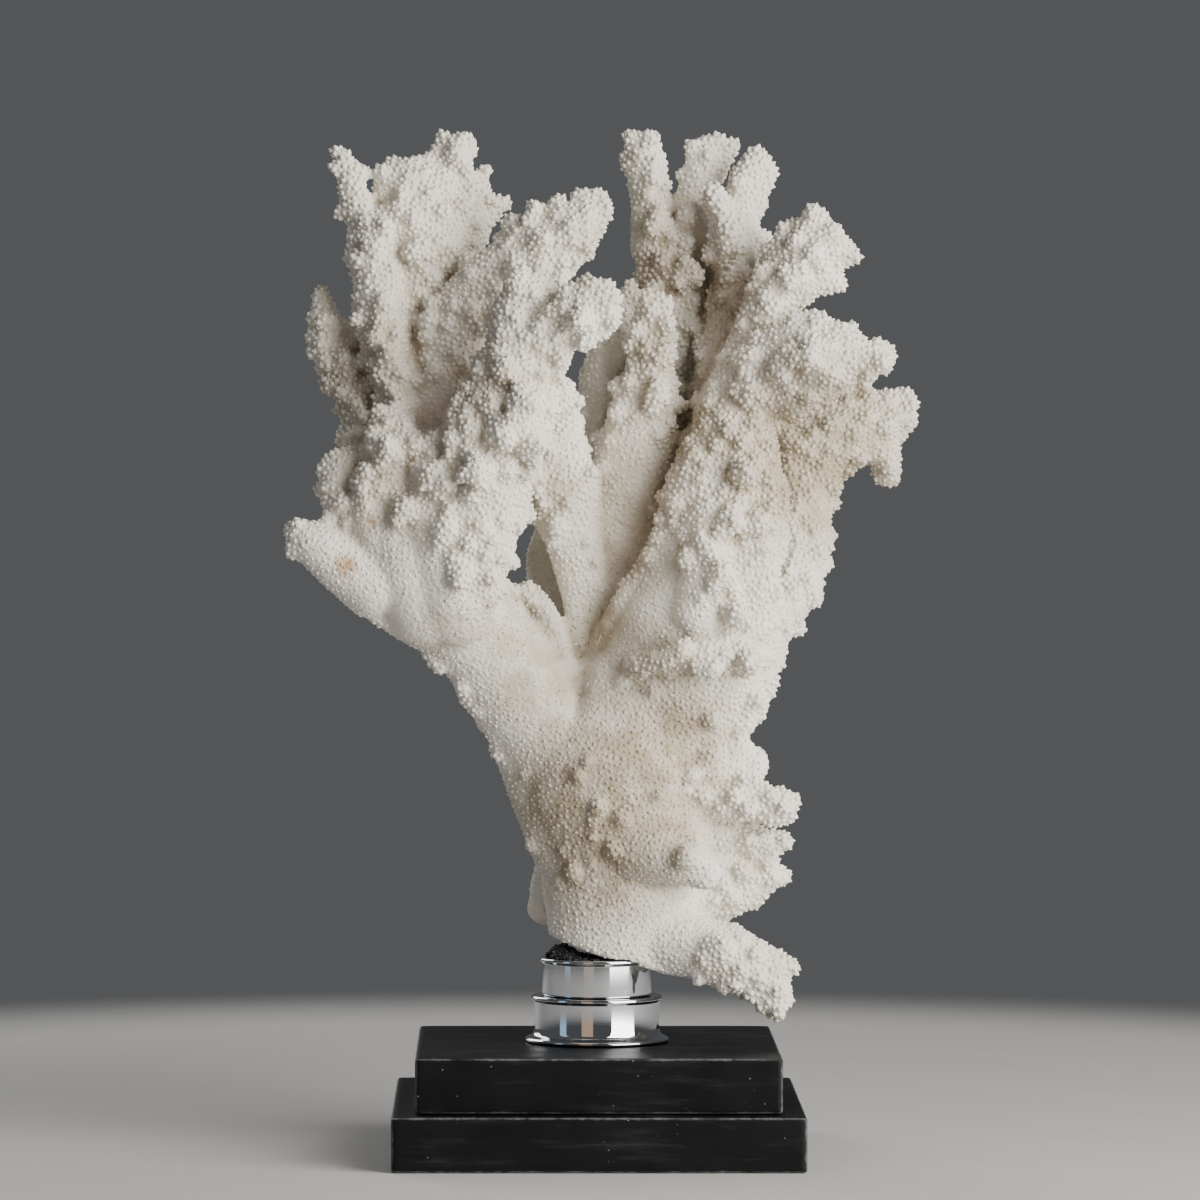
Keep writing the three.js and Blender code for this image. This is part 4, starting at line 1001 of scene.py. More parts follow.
def grit_material(settings):
    """Black crumbly grains, some of them a little glossy."""
    material, nodes, shader = new_material("black_grit")
    place = nodes.on_object()
    cells = nodes.cells(place, 520.0)
    tone = nodes.add("ShaderNodeSeparateColor", {"Color": cells.outputs["Color"]}).outputs[0]
    pale = nodes.fade(tone, 0.72, 1.0)
    colour = nodes.mix(nodes.times(pale, 0.5), tuple(settings.grit), (0.055, 0.053, 0.05))
    crumbly = nodes.noise(place, 1800.0, 4.0, 0.7)
    nodes.feed(shader, {
        "Base Color": colour, "Roughness": nodes.fade(tone, 0.0, 1.0, 0.38, 0.85),
        "Normal": nodes.bump(crumbly, 0.5, 0.0004)})
    return material


def floor_material(settings):
    """Plain pale floor with a barely uneven surface that fades out around the object."""
    material, nodes, shader = new_material("floor", **{"Specular IOR Level": 0.25})
    place = nodes.on_object()
    tone = nodes.fade(nodes.noise(place, 5.0, 4.0), 0.3, 0.7, 0.0, 0.06)
    colour = nodes.mix(tone, tuple(settings.floor), tuple(0.9 * c for c in settings.floor))
    roughness = nodes.fade(nodes.noise(place, 40.0, 2.0), 0.3, 0.7, 0.6, 0.7)
    behind = nodes.vector("SUBTRACT", {0: place, 1: (0.0, 0.15, 0.0)})
    away = nodes.vector("LENGTH", {0: behind}, "Value")
    nodes.feed(shader, {
        "Base Color": colour, "Roughness": roughness,
        "Alpha": nodes.fade(away, 0.55, 0.82, 1.0, 0.0)})
    return material


# Coral limbs


def placed(path):
    """Centres and radii in millimetres of a path that is read from the eye."""
    path = np.array(path, float)
    seen = np.stack([path[:, 0], np.zeros(len(path)), path[:, 1]], 1)
    reach = (EYE_DISTANCE + path[:, 2]) / EYE_DISTANCE
    return EYE + (seen - EYE) * reach[:, None], path[:, 3] * reach


def curve_through(points, radii, spacing):
    """Even steps along a smooth curve through the points, with eased radii."""
    ends = np.vstack([2 * points[0] - points[1], points, 2 * points[-1] - points[-2]])
    last = len(ends) - 3
    places, widths = [], []
    for i in range(1, last + 1):
        p = ends[i - 1:i + 3]
        k = np.concatenate([[0.0], np.cumsum(np.linalg.norm(np.diff(p, axis=0), axis=1) ** 0.5)])
        for part in np.linspace(0, 1, CURVE_STEPS, endpoint=i == last):
            t = k[1] + part * (k[2] - k[1])
            near = [p[j] + (p[j + 1] - p[j]) * (t - k[j]) / (k[j + 1] - k[j]) for j in range(3)]
            wide = [near[j] + (near[j + 1] - near[j]) * (t - k[j]) / (k[j + 2] - k[j])
                    for j in range(2)]
            places.append(wide[0] + (wide[1] - wide[0]) * part)
            share = 0.5 * (part + part * part * (3 - 2 * part))
            widths.append(radii[i - 1] + (radii[i] - radii[i - 1]) * share)
    places, widths = np.array(places), np.array(widths)
    along = np.concatenate([[0.0], np.cumsum(np.linalg.norm(np.diff(places, axis=0), axis=1))])
    even = np.linspace(0, along[-1], max(2, int(round(along[-1] / spacing)) + 1))
    return (np.stack([np.interp(even, along, places[:, axis]) for axis in range(3)], 1),
            np.interp(even, along, widths))


class Limb:
    """One limb: its curve, radii and the directions across its width and thickness."""

    def __init__(self, node, path, flat, facing=(0, -1, 0), twig=False):
        self.node = node
        self.flat = flat
        self.twig = twig
        centres, radii = placed(path)
        if twig:
            radii[-1] *= TWIG_TIP
            last = centres[-1] - centres[-2]
            centres[-1] -= unit(last) * min(radii[-1], 0.6 * np.linalg.norm(last))
        self.points, self.radii = curve_through(centres, radii, LIMB_RING_STEP)
        self.along = unit(np.gradient(self.points, axis=0))
        self.wide = unit(np.cross(np.array(facing, float), self.along))
        self.thin = np.cross(self.wide, self.along)
        ends = [np.linalg.norm(end - HEART) for end in (self.points[0], self.points[-1])]
        tip_last = twig or ends[1] > ends[0]
        share = np.linspace(0, 1, len(self.points))
        self.growth = self.along if tip_last else -self.along
        root, tip = (KNOBBLY[node][1],) * 2 if twig else KNOBBLY[node]
        self.knobbly = root + (tip - root) * (share if tip_last else 1 - share)
        trim = np.minimum(KNOBBLY_TRIM, 0.2 * self.radii)
        trim = trim * np.clip((self.knobbly - SMOOTH_SHARE) / (1 - SMOOTH_SHARE), 0, 1)
        self.core = self.radii if twig else self.radii - trim

    def skin(self):
        """A closed skin around the limb, with rounded ends, as places and faces."""
        sides = LIMB_SIDES
        turn = np.linspace(0, 2 * math.pi, sides, endpoint=False)
        lean = np.linspace(0, math.pi / 2, CAP_RINGS + 2)[1:-1]
        start_cap, end_cap = ([(end, math.cos(a), sign * math.sin(a)) for a in lean]
                              for end, sign in ((0, -1), (-1, 1)))
        order = start_cap[::-1] + [(i, 1.0, 0.0) for i in range(len(self.points))] + end_cap
        places = []
        for i, shrink, beyond in order:
            centre = self.points[i] + self.along[i] * beyond * self.core[i] * CAP_REACH
            places.append(centre + self.core[i] * shrink * (
                np.cos(turn)[:, None] * self.wide[i]
                + np.sin(turn)[:, None] * self.thin[i] * self.flat))
        poles = [self.points[end] + sign * self.along[end] * self.core[end] * CAP_REACH
                 for end, sign in ((0, -1), (-1, 1))]
        return np.vstack([*places, poles]), closed_faces(len(order), sides)


def unit(vectors):
    """Vectors made one unit long."""
    return vectors / np.maximum(np.linalg.norm(vectors, axis=-1, keepdims=True), 1e-9)


def gathered(limbs, trait):
    """One trait of the limbs, end to end, with a row for every spot on their curves."""
    return np.concatenate([getattr(limb, trait) for limb in limbs])


def as_seen(places):
    """Places brought along the line of sight to the upright plane that the tables use."""
    reach = EYE_DISTANCE / (places[:, 1] + EYE_DISTANCE)
    return EYE + (places - EYE) * reach[:, None]


def height_on(line, across):
    """Height of a line of the underside, as far across as is asked."""
    (x0, z0), (x1, z1) = line
    return z0 + (z1 - z0) / (x1 - x0) * (across - x0)


def inner_box(margin):
    """The model's box in millimetres, drawn in by a margin."""
    return np.array(CAD_BOX[0]) / MM + margin, np.array(CAD_BOX[1]) / MM - margin


def above_underside(places, faces):
    """The trunk's skin cut off flat under its broken underside."""
    cut = bmesh.new()
    corners = [cut.verts.new(p) for p in places]
    for face in faces:
        cut.faces.new([corners[i] for i in face])
    for (x0, z0), (x1, z1) in UNDERSIDE:
        normal = Vector((z0 - z1, 0, x1 - x0)).normalized()
        geometry = cut.verts[:] + cut.edges[:] + cut.faces[:]
        bmesh.ops.bisect_plane(
            cut, geom=geometry, plane_co=(x0, 0, z0), plane_no=normal, clear_inner=True)
        bmesh.ops.holes_fill(cut, edges=cut.edges[:], sides=0)
    cut.verts.index_update()
    left = [tuple(v.co) for v in cut.verts]
    kept = [tuple(v.index for v in face.verts) for face in cut.faces]
    cut.free()
    return np.array(left), kept


def bare_coral(limbs, settings):
    """All limbs, twigs and clusters grown into one even skin, before nubs."""
    places, faces, start = [], [], 0
    for limb in limbs:
        cut_flat = limb.node == "coral_trunk" and not limb.twig
        skin_places, skin_faces = above_underside(*limb.skin()) if cut_flat else limb.skin()
        places.append(skin_places)
        faces.extend(tuple(i + start for i in face) for face in skin_faces)
        start += len(skin_places)
    places = np.concatenate(places)
    mesh = mesh_of("bare_coral", places * MM, faces)
    fields = limb_fields(places, limbs)
    write_attribute(mesh, "knobbly", fields["knobbly"])
    write_attribute(mesh, "girth", fields["girth"].astype(np.float32) * MM)
    write_attribute(mesh, "growth", fields["growth"], "FLOAT_VECTOR")
    clustered = with_nodes(mesh, cluster_tree(), {
        "Spacing": settings.cluster_spacing, "Size": settings.cluster_size, "Seed": settings.seed})
    source = new_object("bare_coral", clustered)
    source.modifiers.new("grow", "REMESH").voxel_size = settings.fine_step
    soften = source.modifiers.new("soften", "SMOOTH")
    soften.factor, soften.iterations = 0.5, SOFTEN_STEPS
    grown = evaluated_mesh(source)
    bpy.data.objects.remove(source)
    bpy.data.meshes.remove(clustered)
    return grown


def limb_fields(places, limbs):
    """What the limb nearest to each place says: its node, growth, girth and knobbliness."""
    near, spots = nearest_limb(places.astype(np.float32), limbs)
    spot = spots[np.arange(len(places)), near.argmin(1)]
    knobbly = painted(places, gathered(limbs, "knobbly")[spot], KNOBBLY_SPOTS)
    across, back, up = places.T
    underside = np.zeros(len(places), bool)
    for line in UNDERSIDE:
        start, end = line[0][0], line[1][0]
        above = up - height_on(line, across)
        underside |= (above < UNDERSIDE_NEAR) & (across > start) & (across < end + 1)
    underside &= np.abs(back) < UNDERSIDE_REACH
    return {"near": near, "spots": spots,
            "knobbly": np.where(underside, UNDERSIDE_KNOBBLY, knobbly),
            "growth": gathered(limbs, "growth")[spot], "girth": gathered(limbs, "radii")[spot]}


def largest_shell(mesh):
    """Deletes everything but the largest connected skin."""
    skin = bmesh.new()
    skin.from_mesh(mesh)
    skin.verts.ensure_lookup_table()
    seen = np.zeros(len(skin.verts), bool)
    shells = []
    for first in skin.verts:
        if seen[first.index]:
            continue
        seen[first.index] = True
        shell, edge = [first], [first]
        while edge:
            vertex = edge.pop()
            for link in vertex.link_edges:
                other = link.other_vert(vertex)
                if not seen[other.index]:
                    seen[other.index] = True
                    shell.append(other)
                    edge.append(other)
        shells.append(shell)
    shells.sort(key=len)
    loose = [v for shell in shells[:-1] for v in shell]
    bmesh.ops.delete(skin, geom=loose, context="VERTS")
    skin.to_mesh(mesh)
    skin.free()


def nearest_limb(places, limbs):
    """For each place and node: how near the node's limbs are, and their nearest spot."""
    centres, wide, thin, along, radii = (
        gathered(limbs, trait).astype(np.float32)
        for trait in ("points", "wide", "thin", "along", "radii"))
    flats = np.concatenate([np.full(len(limb.points), limb.flat) for limb in limbs])
    flats = flats.astype(np.float32)
    frames = ((wide, 1 / radii), (thin, 1 / (radii * flats)), (along, 1 / radii))
    nodes = list(LIMBS)
    owner = np.concatenate([np.full(len(limb.points), nodes.index(limb.node)) for limb in limbs])
    starts = np.append(np.flatnonzero(np.diff(owner, prepend=-1)), len(owner))
    near = np.empty((len(places), len(nodes)), np.float32)
    spots = np.empty((len(places), len(nodes)), np.int32)
    for low in range(0, len(places), 4096):
        some = places[low:low + 4096]
        far = sum(((some @ axis.T - (centres * axis).sum(1)) * scale) ** 2
                  for axis, scale in frames)
        gap = (np.sqrt(far) - 1) * radii * (1 + flats) / 2
        near[low:low + 4096] = np.minimum.reduceat(gap, starts[:-1], axis=1)
        for k in range(len(nodes)):
            spots[low:low + 4096, k] = starts[k] + gap[:, starts[k]:starts[k + 1]].argmin(1)
    return near, spots


def blurred(values, edges, steps):
    """Values on vertices, averaged with their neighbours a number of times."""
    one, other = edges[:, 0], edges[:, 1]
    count = np.bincount(one, minlength=len(values)) + np.bincount(other, minlength=len(values)) + 1
    columns = values.reshape(len(values), -1).astype(np.float64)
    for _ in range(steps):
        total = columns.copy()
        for k in range(columns.shape[1]):
            total[:, k] += np.bincount(one, columns[other, k], minlength=len(values))
            total[:, k] += np.bincount(other, columns[one, k], minlength=len(values))
        columns = total / count[:, None]
    return columns.reshape(values.shape).astype(np.float32)


def tidy_labels(labels, quads):
    """Joins small islands of a label to the label around them."""
    sides = np.stack([quads, np.roll(quads, -1, 1)], 2).reshape(-1, 2)
    face = np.repeat(np.arange(len(quads)), 4)
    key = np.sort(sides, 1)
    order = np.lexsort((key[:, 1], key[:, 0]))
    key, face = key[order], face[order]
    same = (key[1:] == key[:-1]).all(1)
    pairs = np.stack([face[:-1][same], face[1:][same]], 1)
    for _ in range(LABEL_ROUNDS):
        group = np.arange(len(quads))
        joined = pairs[labels[pairs[:, 0]] == labels[pairs[:, 1]]]
        while True:
            before = group.copy()
            low = np.minimum(group[joined[:, 0]], group[joined[:, 1]])
            np.minimum.at(group, joined[:, 0], low)
            np.minimum.at(group, joined[:, 1], low)
            group = group[group]
            if (group == before).all():
                break
        size = np.bincount(group, minlength=len(quads))[group]
        biggest = np.zeros(labels.max() + 1, np.int64)
        np.maximum.at(biggest, labels, size)
        island = size < biggest[labels]
        if not island.any():
            break
        across = pairs[labels[pairs[:, 0]] != labels[pairs[:, 1]]]
        across = np.concatenate([across, across[:, ::-1]])
        across = across[island[across[:, 0]] & ~island[across[:, 1]]]
        fresh = labels.copy()
        for root in np.unique(group[island]):
            links = across[group[across[:, 0]] == root]
            if len(links):
                fresh[group == root] = np.bincount(labels[links[:, 1]]).argmax()
        labels = fresh
    return labels


def prepared_coral(settings):
    """The bare skin with notes for the nubs and the finish, and each node's core under it."""
    limbs = [Limb(node, *form) for node, forms in LIMBS.items() for form in forms]
    limbs += [Limb(node, path, TWIG_FLATNESS, twig=True)
              for node, paths in TWIGS.items() for path in paths]
    limbs.sort(key=lambda limb: list(LIMBS).index(limb.node))
    mesh = bare_coral(limbs, settings)
    largest_shell(mesh)
    places = clear_of_collar(within_box(read_places(mesh) / MM), SKIN_GAP)
    quads, edges = read_faces(mesh, 4), read_edges(mesh)
    fields = limb_fields(places, limbs)
    write_places(mesh, places)
    # How sunken the skin is: it thins the nubs in hollows and is the mask for the painted shade
    # there
    sunk = ((blurred(places, edges, HOLLOW_BLUR) - places) * read_normals(mesh)).sum(1)
    hollow = np.clip(sunk / HOLLOW_FULL_DEPTH, -1, 1)
    places = bored(places, edges)
    write_places(mesh, places)
    nothing = np.zeros(len(places))
    # Real stains, and painted shade where the same spots mark limbs that lie in shadow
    stain = blurred(painted(places, nothing, STAIN_AND_SHADE_SPOTS), edges, STAIN_AND_SHADE_BLUR)
    growth = unit(blurred(fields["growth"], edges, GROWTH_BLUR))
    labels = tidy_labels(fields["near"][quads].mean(1).argmin(1), quads)
    write_attribute(mesh, "knobbly", blurred(fields["knobbly"], edges, KNOBBLY_BLUR))
    write_attribute(mesh, "hollow", hollow)
    write_attribute(mesh, "stain", stain)
    write_attribute(mesh, "rust", painted(places, nothing, RUST_SPOTS))
    write_attribute(mesh, "growth", growth, "FLOAT_VECTOR")
    write_attribute(mesh, "limb", labels, "INT", "FACE")
    return mesh, gathered(limbs, "points"), fields["spots"]


def within_box(places):
    """Places eased to stay inside the model's box, in millimetres."""
    low, high = inner_box(NUB_ROOM)
    for limit, sign in ((low, -1), (high, 1)):
        beyond = sign * (places - (limit - sign * BOX_EASING)) / BOX_EASING
        eased = limit - sign * BOX_EASING * np.exp(-np.maximum(beyond, 0))
        places = np.where(beyond > 0, eased, places)
    return places


def clear_of_collar(places, gap):
    """Places lifted off the cup's rim, in millimetres."""
    radius = np.hypot(places[:, 0], places[:, 1])
    floor = CUP_TOP + gap - RIM_SLOPE * np.maximum(radius - CUP_RIM_RADIUS - gap, 0)
    near = radius < CUP_RIM_RADIUS + RIM_REACH
    lifted = np.where(near, np.maximum(places[:, 2], floor), places[:, 2])
    return np.column_stack([places[:, :2], lifted])


def bored(places, edges):
    """Places pushed away from the eye where a hollow enters the coral."""
    seen = as_seen(places)
    push = np.zeros(len(places))
    for across, up, radius, depth in HOLLOWS:
        gap = np.hypot(seen[:, 0] - across, seen[:, 2] - up)
        front = places[gap < HOLLOW_EDGE * radius, 1]
        if len(front):
            share = np.clip(HOLLOW_EDGE - gap / radius, 0, 1)
            share *= np.clip(1 - (places[:, 1] - front.min()) / HOLLOW_REACH, 0, 1)
            push = np.maximum(push, depth * share)
    return places + blurred(push, edges, BORE_BLUR)[:, None] * np.array([0.0, 1.0, 0.0])


def painted(places, values, spots):
    """Values moved towards each spot's value near (across, up) as seen from the eye."""
    seen = as_seen(places)
    values = values.astype(float)
    for across, up, radius, value, *limit in spots:
        gap = np.hypot(seen[:, 0] - across, seen[:, 2] - up) / radius
        in_reach = places[:, 1] < (limit[0] if limit else SPOT_BACK_LIMIT)
        share = np.clip(SPOT_EDGE - gap, 0, 1) * in_reach
        values += (value - values) * share
    return values


def surface_tree(name):
    """An empty tree for what grows on a surface, with its inputs and its result."""
    tree, source, result = new_group(
        name, "GeometryNodeTree",
        {"Geometry": "Geometry", "Spacing": "Float", "Size": "Float", "Seed": "Int"},
        {"Geometry": "Geometry"})
    return tree, Nodes(tree), source.outputs, result


def made_real(nodes, result, *parts):
    """Joins the parts of a tree, in this order, as plain mesh in its result."""
    joined = nodes.add("GeometryNodeJoinGeometry")
    for part in parts:
        nodes.tree.links.new(part, joined.inputs[0])
    whole = nodes.add("GeometryNodeRealizeInstances", {"Geometry": joined.outputs[0]})
    nodes.feed(result, {"Geometry": whole.outputs[0]})


def sprouts(nodes, value, share, dense, shape, radius, reach):
    """Copies of a shape standing on a surface, leaning the way the limb grows."""
    growth = nodes.attribute("growth", "FLOAT_VECTOR")
    spread = nodes.add("GeometryNodeDistributePointsOnFaces", {
        "Mesh": value["Geometry"], "Distance Min": value["Spacing"], "Density Max": dense,
        "Density Factor": share, "Seed": value["Seed"]}, distribute_method="POISSON")
    bend = nodes.vector("SCALE", {0: growth, "Scale": nodes.chance(0.15, 1.1, value["Seed"])})
    lean = nodes.vector("ADD", {0: spread.outputs["Normal"], 1: bend})
    turned = nodes.add("FunctionNodeAlignRotationToVector", {"Vector": lean}, axis="Z")
    size = nodes.add("ShaderNodeCombineXYZ", {"X": radius, "Y": radius, "Z": reach})
    return nodes.add("GeometryNodeInstanceOnPoints", {
        "Points": spread.outputs[0], "Instance": shape, "Rotation": turned.outputs[0],
        "Scale": size.outputs[0]}).outputs[0]


def cluster_tree():
    """Swellings of many sizes on the knobbly stretches of the bare limbs."""
    tree, nodes, value, result = surface_tree("Coral Clusters")
    knobbly = nodes.attribute("knobbly")
    place = nodes.add("GeometryNodeInputPosition").outputs[0]
    patches = nodes.fade(nodes.noise(place, 42.0, 2.0), 0.36, 0.52, 0.25, 1.0)
    share = nodes.times(nodes.fade(knobbly, 0.35, 0.85), patches)
    egg = nodes.add("GeometryNodeMeshIcoSphere", {"Radius": 1.0, "Subdivisions": 2})
    radius = nodes.times(value["Size"], nodes.chance(0.45, 1.0, value["Seed"]))
    radius = nodes.math("MINIMUM", radius, nodes.times(nodes.attribute("girth"), 0.62))
    reach = nodes.times(radius, nodes.chance(0.9, 1.6, value["Seed"]))
    stems = sprouts(nodes, value, share, CLUSTER_DENSITY, egg.outputs[0], radius, reach)
    made_real(nodes, result, stems, value["Geometry"])
    return tree


def nub_tree():
    """Nubs that stand close together on the clusters and thin out where the skin is smooth."""
    tree, nodes, value, result = surface_tree("Coral Nubs")
    knobbly, hollow = nodes.attribute("knobbly"), nodes.attribute("hollow")
    place = nodes.add("GeometryNodeInputPosition").outputs[0]
    patches = nodes.fade(nodes.noise(place, 55.0, 2.0), 0.36, 0.54, 0.35, 1.0)
    rough = nodes.times(knobbly, patches)
    raised = nodes.fade(hollow, -0.35, 0.35, 1.15, 0.55)
    share = nodes.fade(nodes.times(rough, raised), 0.06, 0.16)
    bead = nodes.add("GeometryNodeMeshIcoSphere", {"Radius": 1.0, "Subdivisions": 1})
    height = nodes.add("ShaderNodeSeparateXYZ", {"Vector": place}).outputs[2]
    # Each nub's height up its side, which the material reads to paint shade towards the nub's foot
    bead = nodes.add("GeometryNodeStoreNamedAttribute", {
        "Geometry": bead.outputs[0], "Name": "nub", "Value": nodes.fade(height, -0.2, 0.6)},
        data_type="FLOAT", domain="POINT")
    bead = nodes.add("GeometryNodeTransform", {
        "Geometry": bead.outputs[0], "Translation": (0.0, 0.0, -NUB_SINK)})
    radius = nodes.times(value["Size"], nodes.chance(0.55, 1.0, value["Seed"]))
    radius = nodes.times(radius, nodes.fade(rough, 0.15, 0.8, 0.66, 1.0))
    long = nodes.fade(knobbly, 0.4, 1.0, 0.62, 1.45)
    long = nodes.times(long, nodes.chance(0.85, 1.3, value["Seed"]))
    reach = nodes.times(radius, long)
    beads = sprouts(nodes, value, share, NUB_DENSITY, bead.outputs[0], radius, reach)
    made_real(nodes, result, beads)
    return tree


def with_nodes(mesh, tree, values):
    """The plain mesh that a Geometry Nodes tree makes of a mesh, with inputs by label."""
    source = new_object(mesh.name, mesh)
    modifier = source.modifiers.new("growth", "NODES")
    modifier.node_group = tree
    for socket in tree.interface.items_tree:
        if socket.in_out == "INPUT" and socket.name in values:
            modifier[socket.identifier] = values[socket.name]
    made = evaluated_mesh(source)
    source.modifiers.clear()
    bpy.data.objects.remove(source)
    return made


def boundary_loops(quads, count):
    """Closed chains of the edges that only one face uses, in the faces' own direction."""
    start, end = quads.ravel(), np.roll(quads, -1, 1).ravel()
    key = start.astype(np.int64) * count + end
    back = end.astype(np.int64) * count + start
    open_edge = ~np.isin(key, back)
    after = {}
    for a, b in zip(start[open_edge].tolist(), end[open_edge].tolist()):
        after.setdefault(a, []).append(b)
    loops = []
    while after:
        first = next(iter(after))
        loop, here = [first], first
        while True:
            choices = after[here]
            onward = choices.pop()
            if not choices:
                del after[here]
            if onward == first:
                break
            loop.append(onward)
            here = onward
        loops.append(loop)
    return loops


def limb_piece(node, skin, nubs, number, material):
    """One node's share of the skin, closed where it joins its neighbours, and its nubs."""
    own = skin["faces"][skin["labels"] == number]
    used, local = np.unique(own, return_inverse=True)
    own = local.reshape(-1, 4)
    places, normals = skin["places"][used], skin["normals"][used]
    extra, extra_normals, caps = [], [], []
    for loop in boundary_loops(own, len(used)):
        first = len(used) + len(extra)
        count = len(loop)
        lip = places[loop] - normals[loop] * SEAM_DEPTH
        core = skin["core"][skin["spots"][used[loop], number]]
        for _ in range(CORE_EASING):
            core = (core + np.roll(core, 1, 0) + np.roll(core, -1, 0)) / 3
        extra.extend([*lip, *core, core.mean(0)])
        extra_normals.extend([*-normals[loop], *-normals[loop], -normals[loop].mean(0)])
        for i in range(count):
            j = (i + 1) % count
            for one, other, inner_one, inner_other in (
                    (loop[i], loop[j], first + i, first + j),
                    (first + i, first + j, first + count + i, first + count + j)):
                caps.append((other, one, inner_one))
                caps.append((other, inner_one, inner_other))
            caps.append((first + count + j, first + count + i, first + 2 * count))
    beads = nubs["faces"][nubs["labels"][nubs["faces"][:, 0]] == number]
    bead_used, bead_local = np.unique(beads, return_inverse=True)
    corner_sets = (own, np.array(caps, np.int64).reshape(-1, 3),
                   bead_local.reshape(-1, 3) + len(used) + len(extra))
    extra, extra_normals = (np.array(rows, float).reshape(-1, 3) for rows in (extra, extra_normals))
    name = node.replace("coral_", "grown_")
    mesh = bpy.data.meshes.new(name)
    all_places = np.vstack([places, extra, nubs["places"][bead_used]])
    all_normals = np.vstack([normals, extra_normals, nubs["normals"][bead_used]])
    sizes = np.concatenate([np.full(len(faces), faces.shape[1]) for faces in corner_sets])
    corners = np.concatenate([faces.ravel() for faces in corner_sets]).astype(np.int32)
    mesh.vertices.add(len(all_places))
    write_places(mesh, all_places)
    mesh.loops.add(len(corners))
    mesh.loops.foreach_set("vertex_index", corners)
    mesh.polygons.add(len(sizes))
    mesh.polygons.foreach_set("loop_start", (np.cumsum(sizes) - sizes).astype(np.int32))
    mesh.polygons.foreach_set("use_smooth", np.ones(len(sizes), bool))
    mesh.update(calc_edges=True)
    for label in CORAL_NOTES:
        values = [skin[label][used], np.zeros(len(extra)), nubs[label][bead_used]]
        write_attribute(mesh, label, np.concatenate(values))
    mesh.normals_split_custom_set_from_vertices(unit(all_normals).tolist())
    return own_piece(name, mesh, material, "coral_white", node)


def surface_of(mesh, sides):
    """A mesh's places, normals, faces, labels and notes as arrays, in millimetres."""
    notes = {note: read_attribute(mesh, note) for note in CORAL_NOTES if note in mesh.attributes}
    notes.setdefault("nub", np.zeros(len(mesh.vertices), np.float32))
    return {"places": read_places(mesh) / MM, "normals": read_normals(mesh),
            "faces": read_faces(mesh, sides),
            "labels": read_attribute(mesh, "limb", np.int32), **notes}


class CORAL_OT_limbs(bpy.types.Operator):
    """Grow the coral: every limb, fused, covered in nubs and parted again at the forks"""

    bl_idname = "coral.limbs"
    bl_label = "Grow Coral Limbs"

    def execute(self, context):
        settings = context.scene.coral
        bare, core, spots = prepared_coral(settings)
        material = coral_material(settings)
        skin = surface_of(bare, 4)
        skin.update(core=core, spots=spots)
        beads = with_nodes(bare, nub_tree(), {
            "Spacing": settings.nub_spacing, "Size": settings.nub_size, "Seed": settings.seed + 1})
        nubs = surface_of(beads, 3)
        nubs["places"] = clear_of_collar(np.clip(nubs["places"], *inner_box(BOX_MARGIN)), NUB_GAP)
        for number, node in enumerate(LIMBS):
            limb_piece(node, skin, nubs, number, material)
        return {"FINISHED"}


# Stand


def rounded_block(side, low, high, radius, waver, seed):
    """A square block with sanded edges and slightly uneven faces, as places and quads."""
    steps = BLOCK_STEPS
    ramp = np.linspace(-1, 1, steps + 1)
    ramp = np.sign(ramp) * (1 - (1 - np.abs(ramp)) ** EDGE_CROWDING)
    places, quads = [], []
    for axis in range(3):
        for sign in (-1, 1):
            start = len(places)
            for v in ramp:
                for u in ramp:
                    spot = [0.0, 0.0, 0.0]
                    spot[axis], spot[(axis + 1) % 3], spot[(axis + 2) % 3] = sign, u, v
                    places.append(spot)
            for row in range(steps):
                for column in range(steps):
                    a = start + row * (steps + 1) + column
                    quad = (a, a + 1, a + steps + 2, a + steps + 1)
                    quads.append(quad if sign > 0 else quad[::-1])
    places = np.array(places)
    half = np.array((side / 2, side / 2, (high - low) / 2))
    places = places * half
    inside = np.clip(places, -(half - radius), half - radius)
    places = inside + radius * unit(places - inside)
    places[:, 2] += (low + high) / 2
    chance = np.random.default_rng(seed)
    wave = np.zeros(len(places))
    for _ in range(WAVER_COUNT):
        direction = chance.normal(size=3) * np.array((1, 1, 0.6)) / WAVER_LENGTH
        wave += np.sin(places @ direction * 2 * math.pi + chance.uniform(0, 6.28))
    middle = np.array((0, 0, (low + high) / 2))
    outward = unit((places - middle) / half)
    shrink = waver * (wave / WAVER_COUNT + 1) / 2
    corner = (np.abs(places - middle) / half).prod(1) ** 8
    shrink = shrink + corner * waver * 1.6
    return places - outward * shrink[:, None], quads


def merged(mesh):
    """A mesh with its doubled vertices joined and its faces turned outwards."""
    clean = bmesh.new()
    clean.from_mesh(mesh)
    bmesh.ops.remove_doubles(clean, verts=clean.verts, dist=WELD_DISTANCE * MM)
    bmesh.ops.recalc_face_normals(clean, faces=clean.faces)
    clean.to_mesh(mesh)
    clean.free()
    return mesh


class CORAL_OT_plinth(bpy.types.Operator):
    """Make the two black slabs with their sanded, rubbed edges"""

    bl_idname = "coral.plinth"
    bl_label = "Make Plinth"

    def execute(self, context):
        settings = context.scene.coral_stand
        radius, waver = settings.edge_radius / MM, settings.edge_waver / MM
        slabs = (("lower_slab", LOWER_SLAB_SIDE, 0.0, 3),
                 ("upper_slab", UPPER_SLAB_SIDE, UPPER_SLAB_BOTTOM, 5))
        for name, side, low, seed in slabs:
            high = low + SLAB_HEIGHT
            places, quads = rounded_block(side, low, high, radius, waver, seed)
            mesh = merged(mesh_of(name, places * MM, quads))
            material = paint_material(
                "black_paint_" + name, settings, side / 2 * MM, low * MM, high * MM)
            own_piece(name, mesh, material, "black_paint", "plinth_" + name)
        return {"FINISHED"}


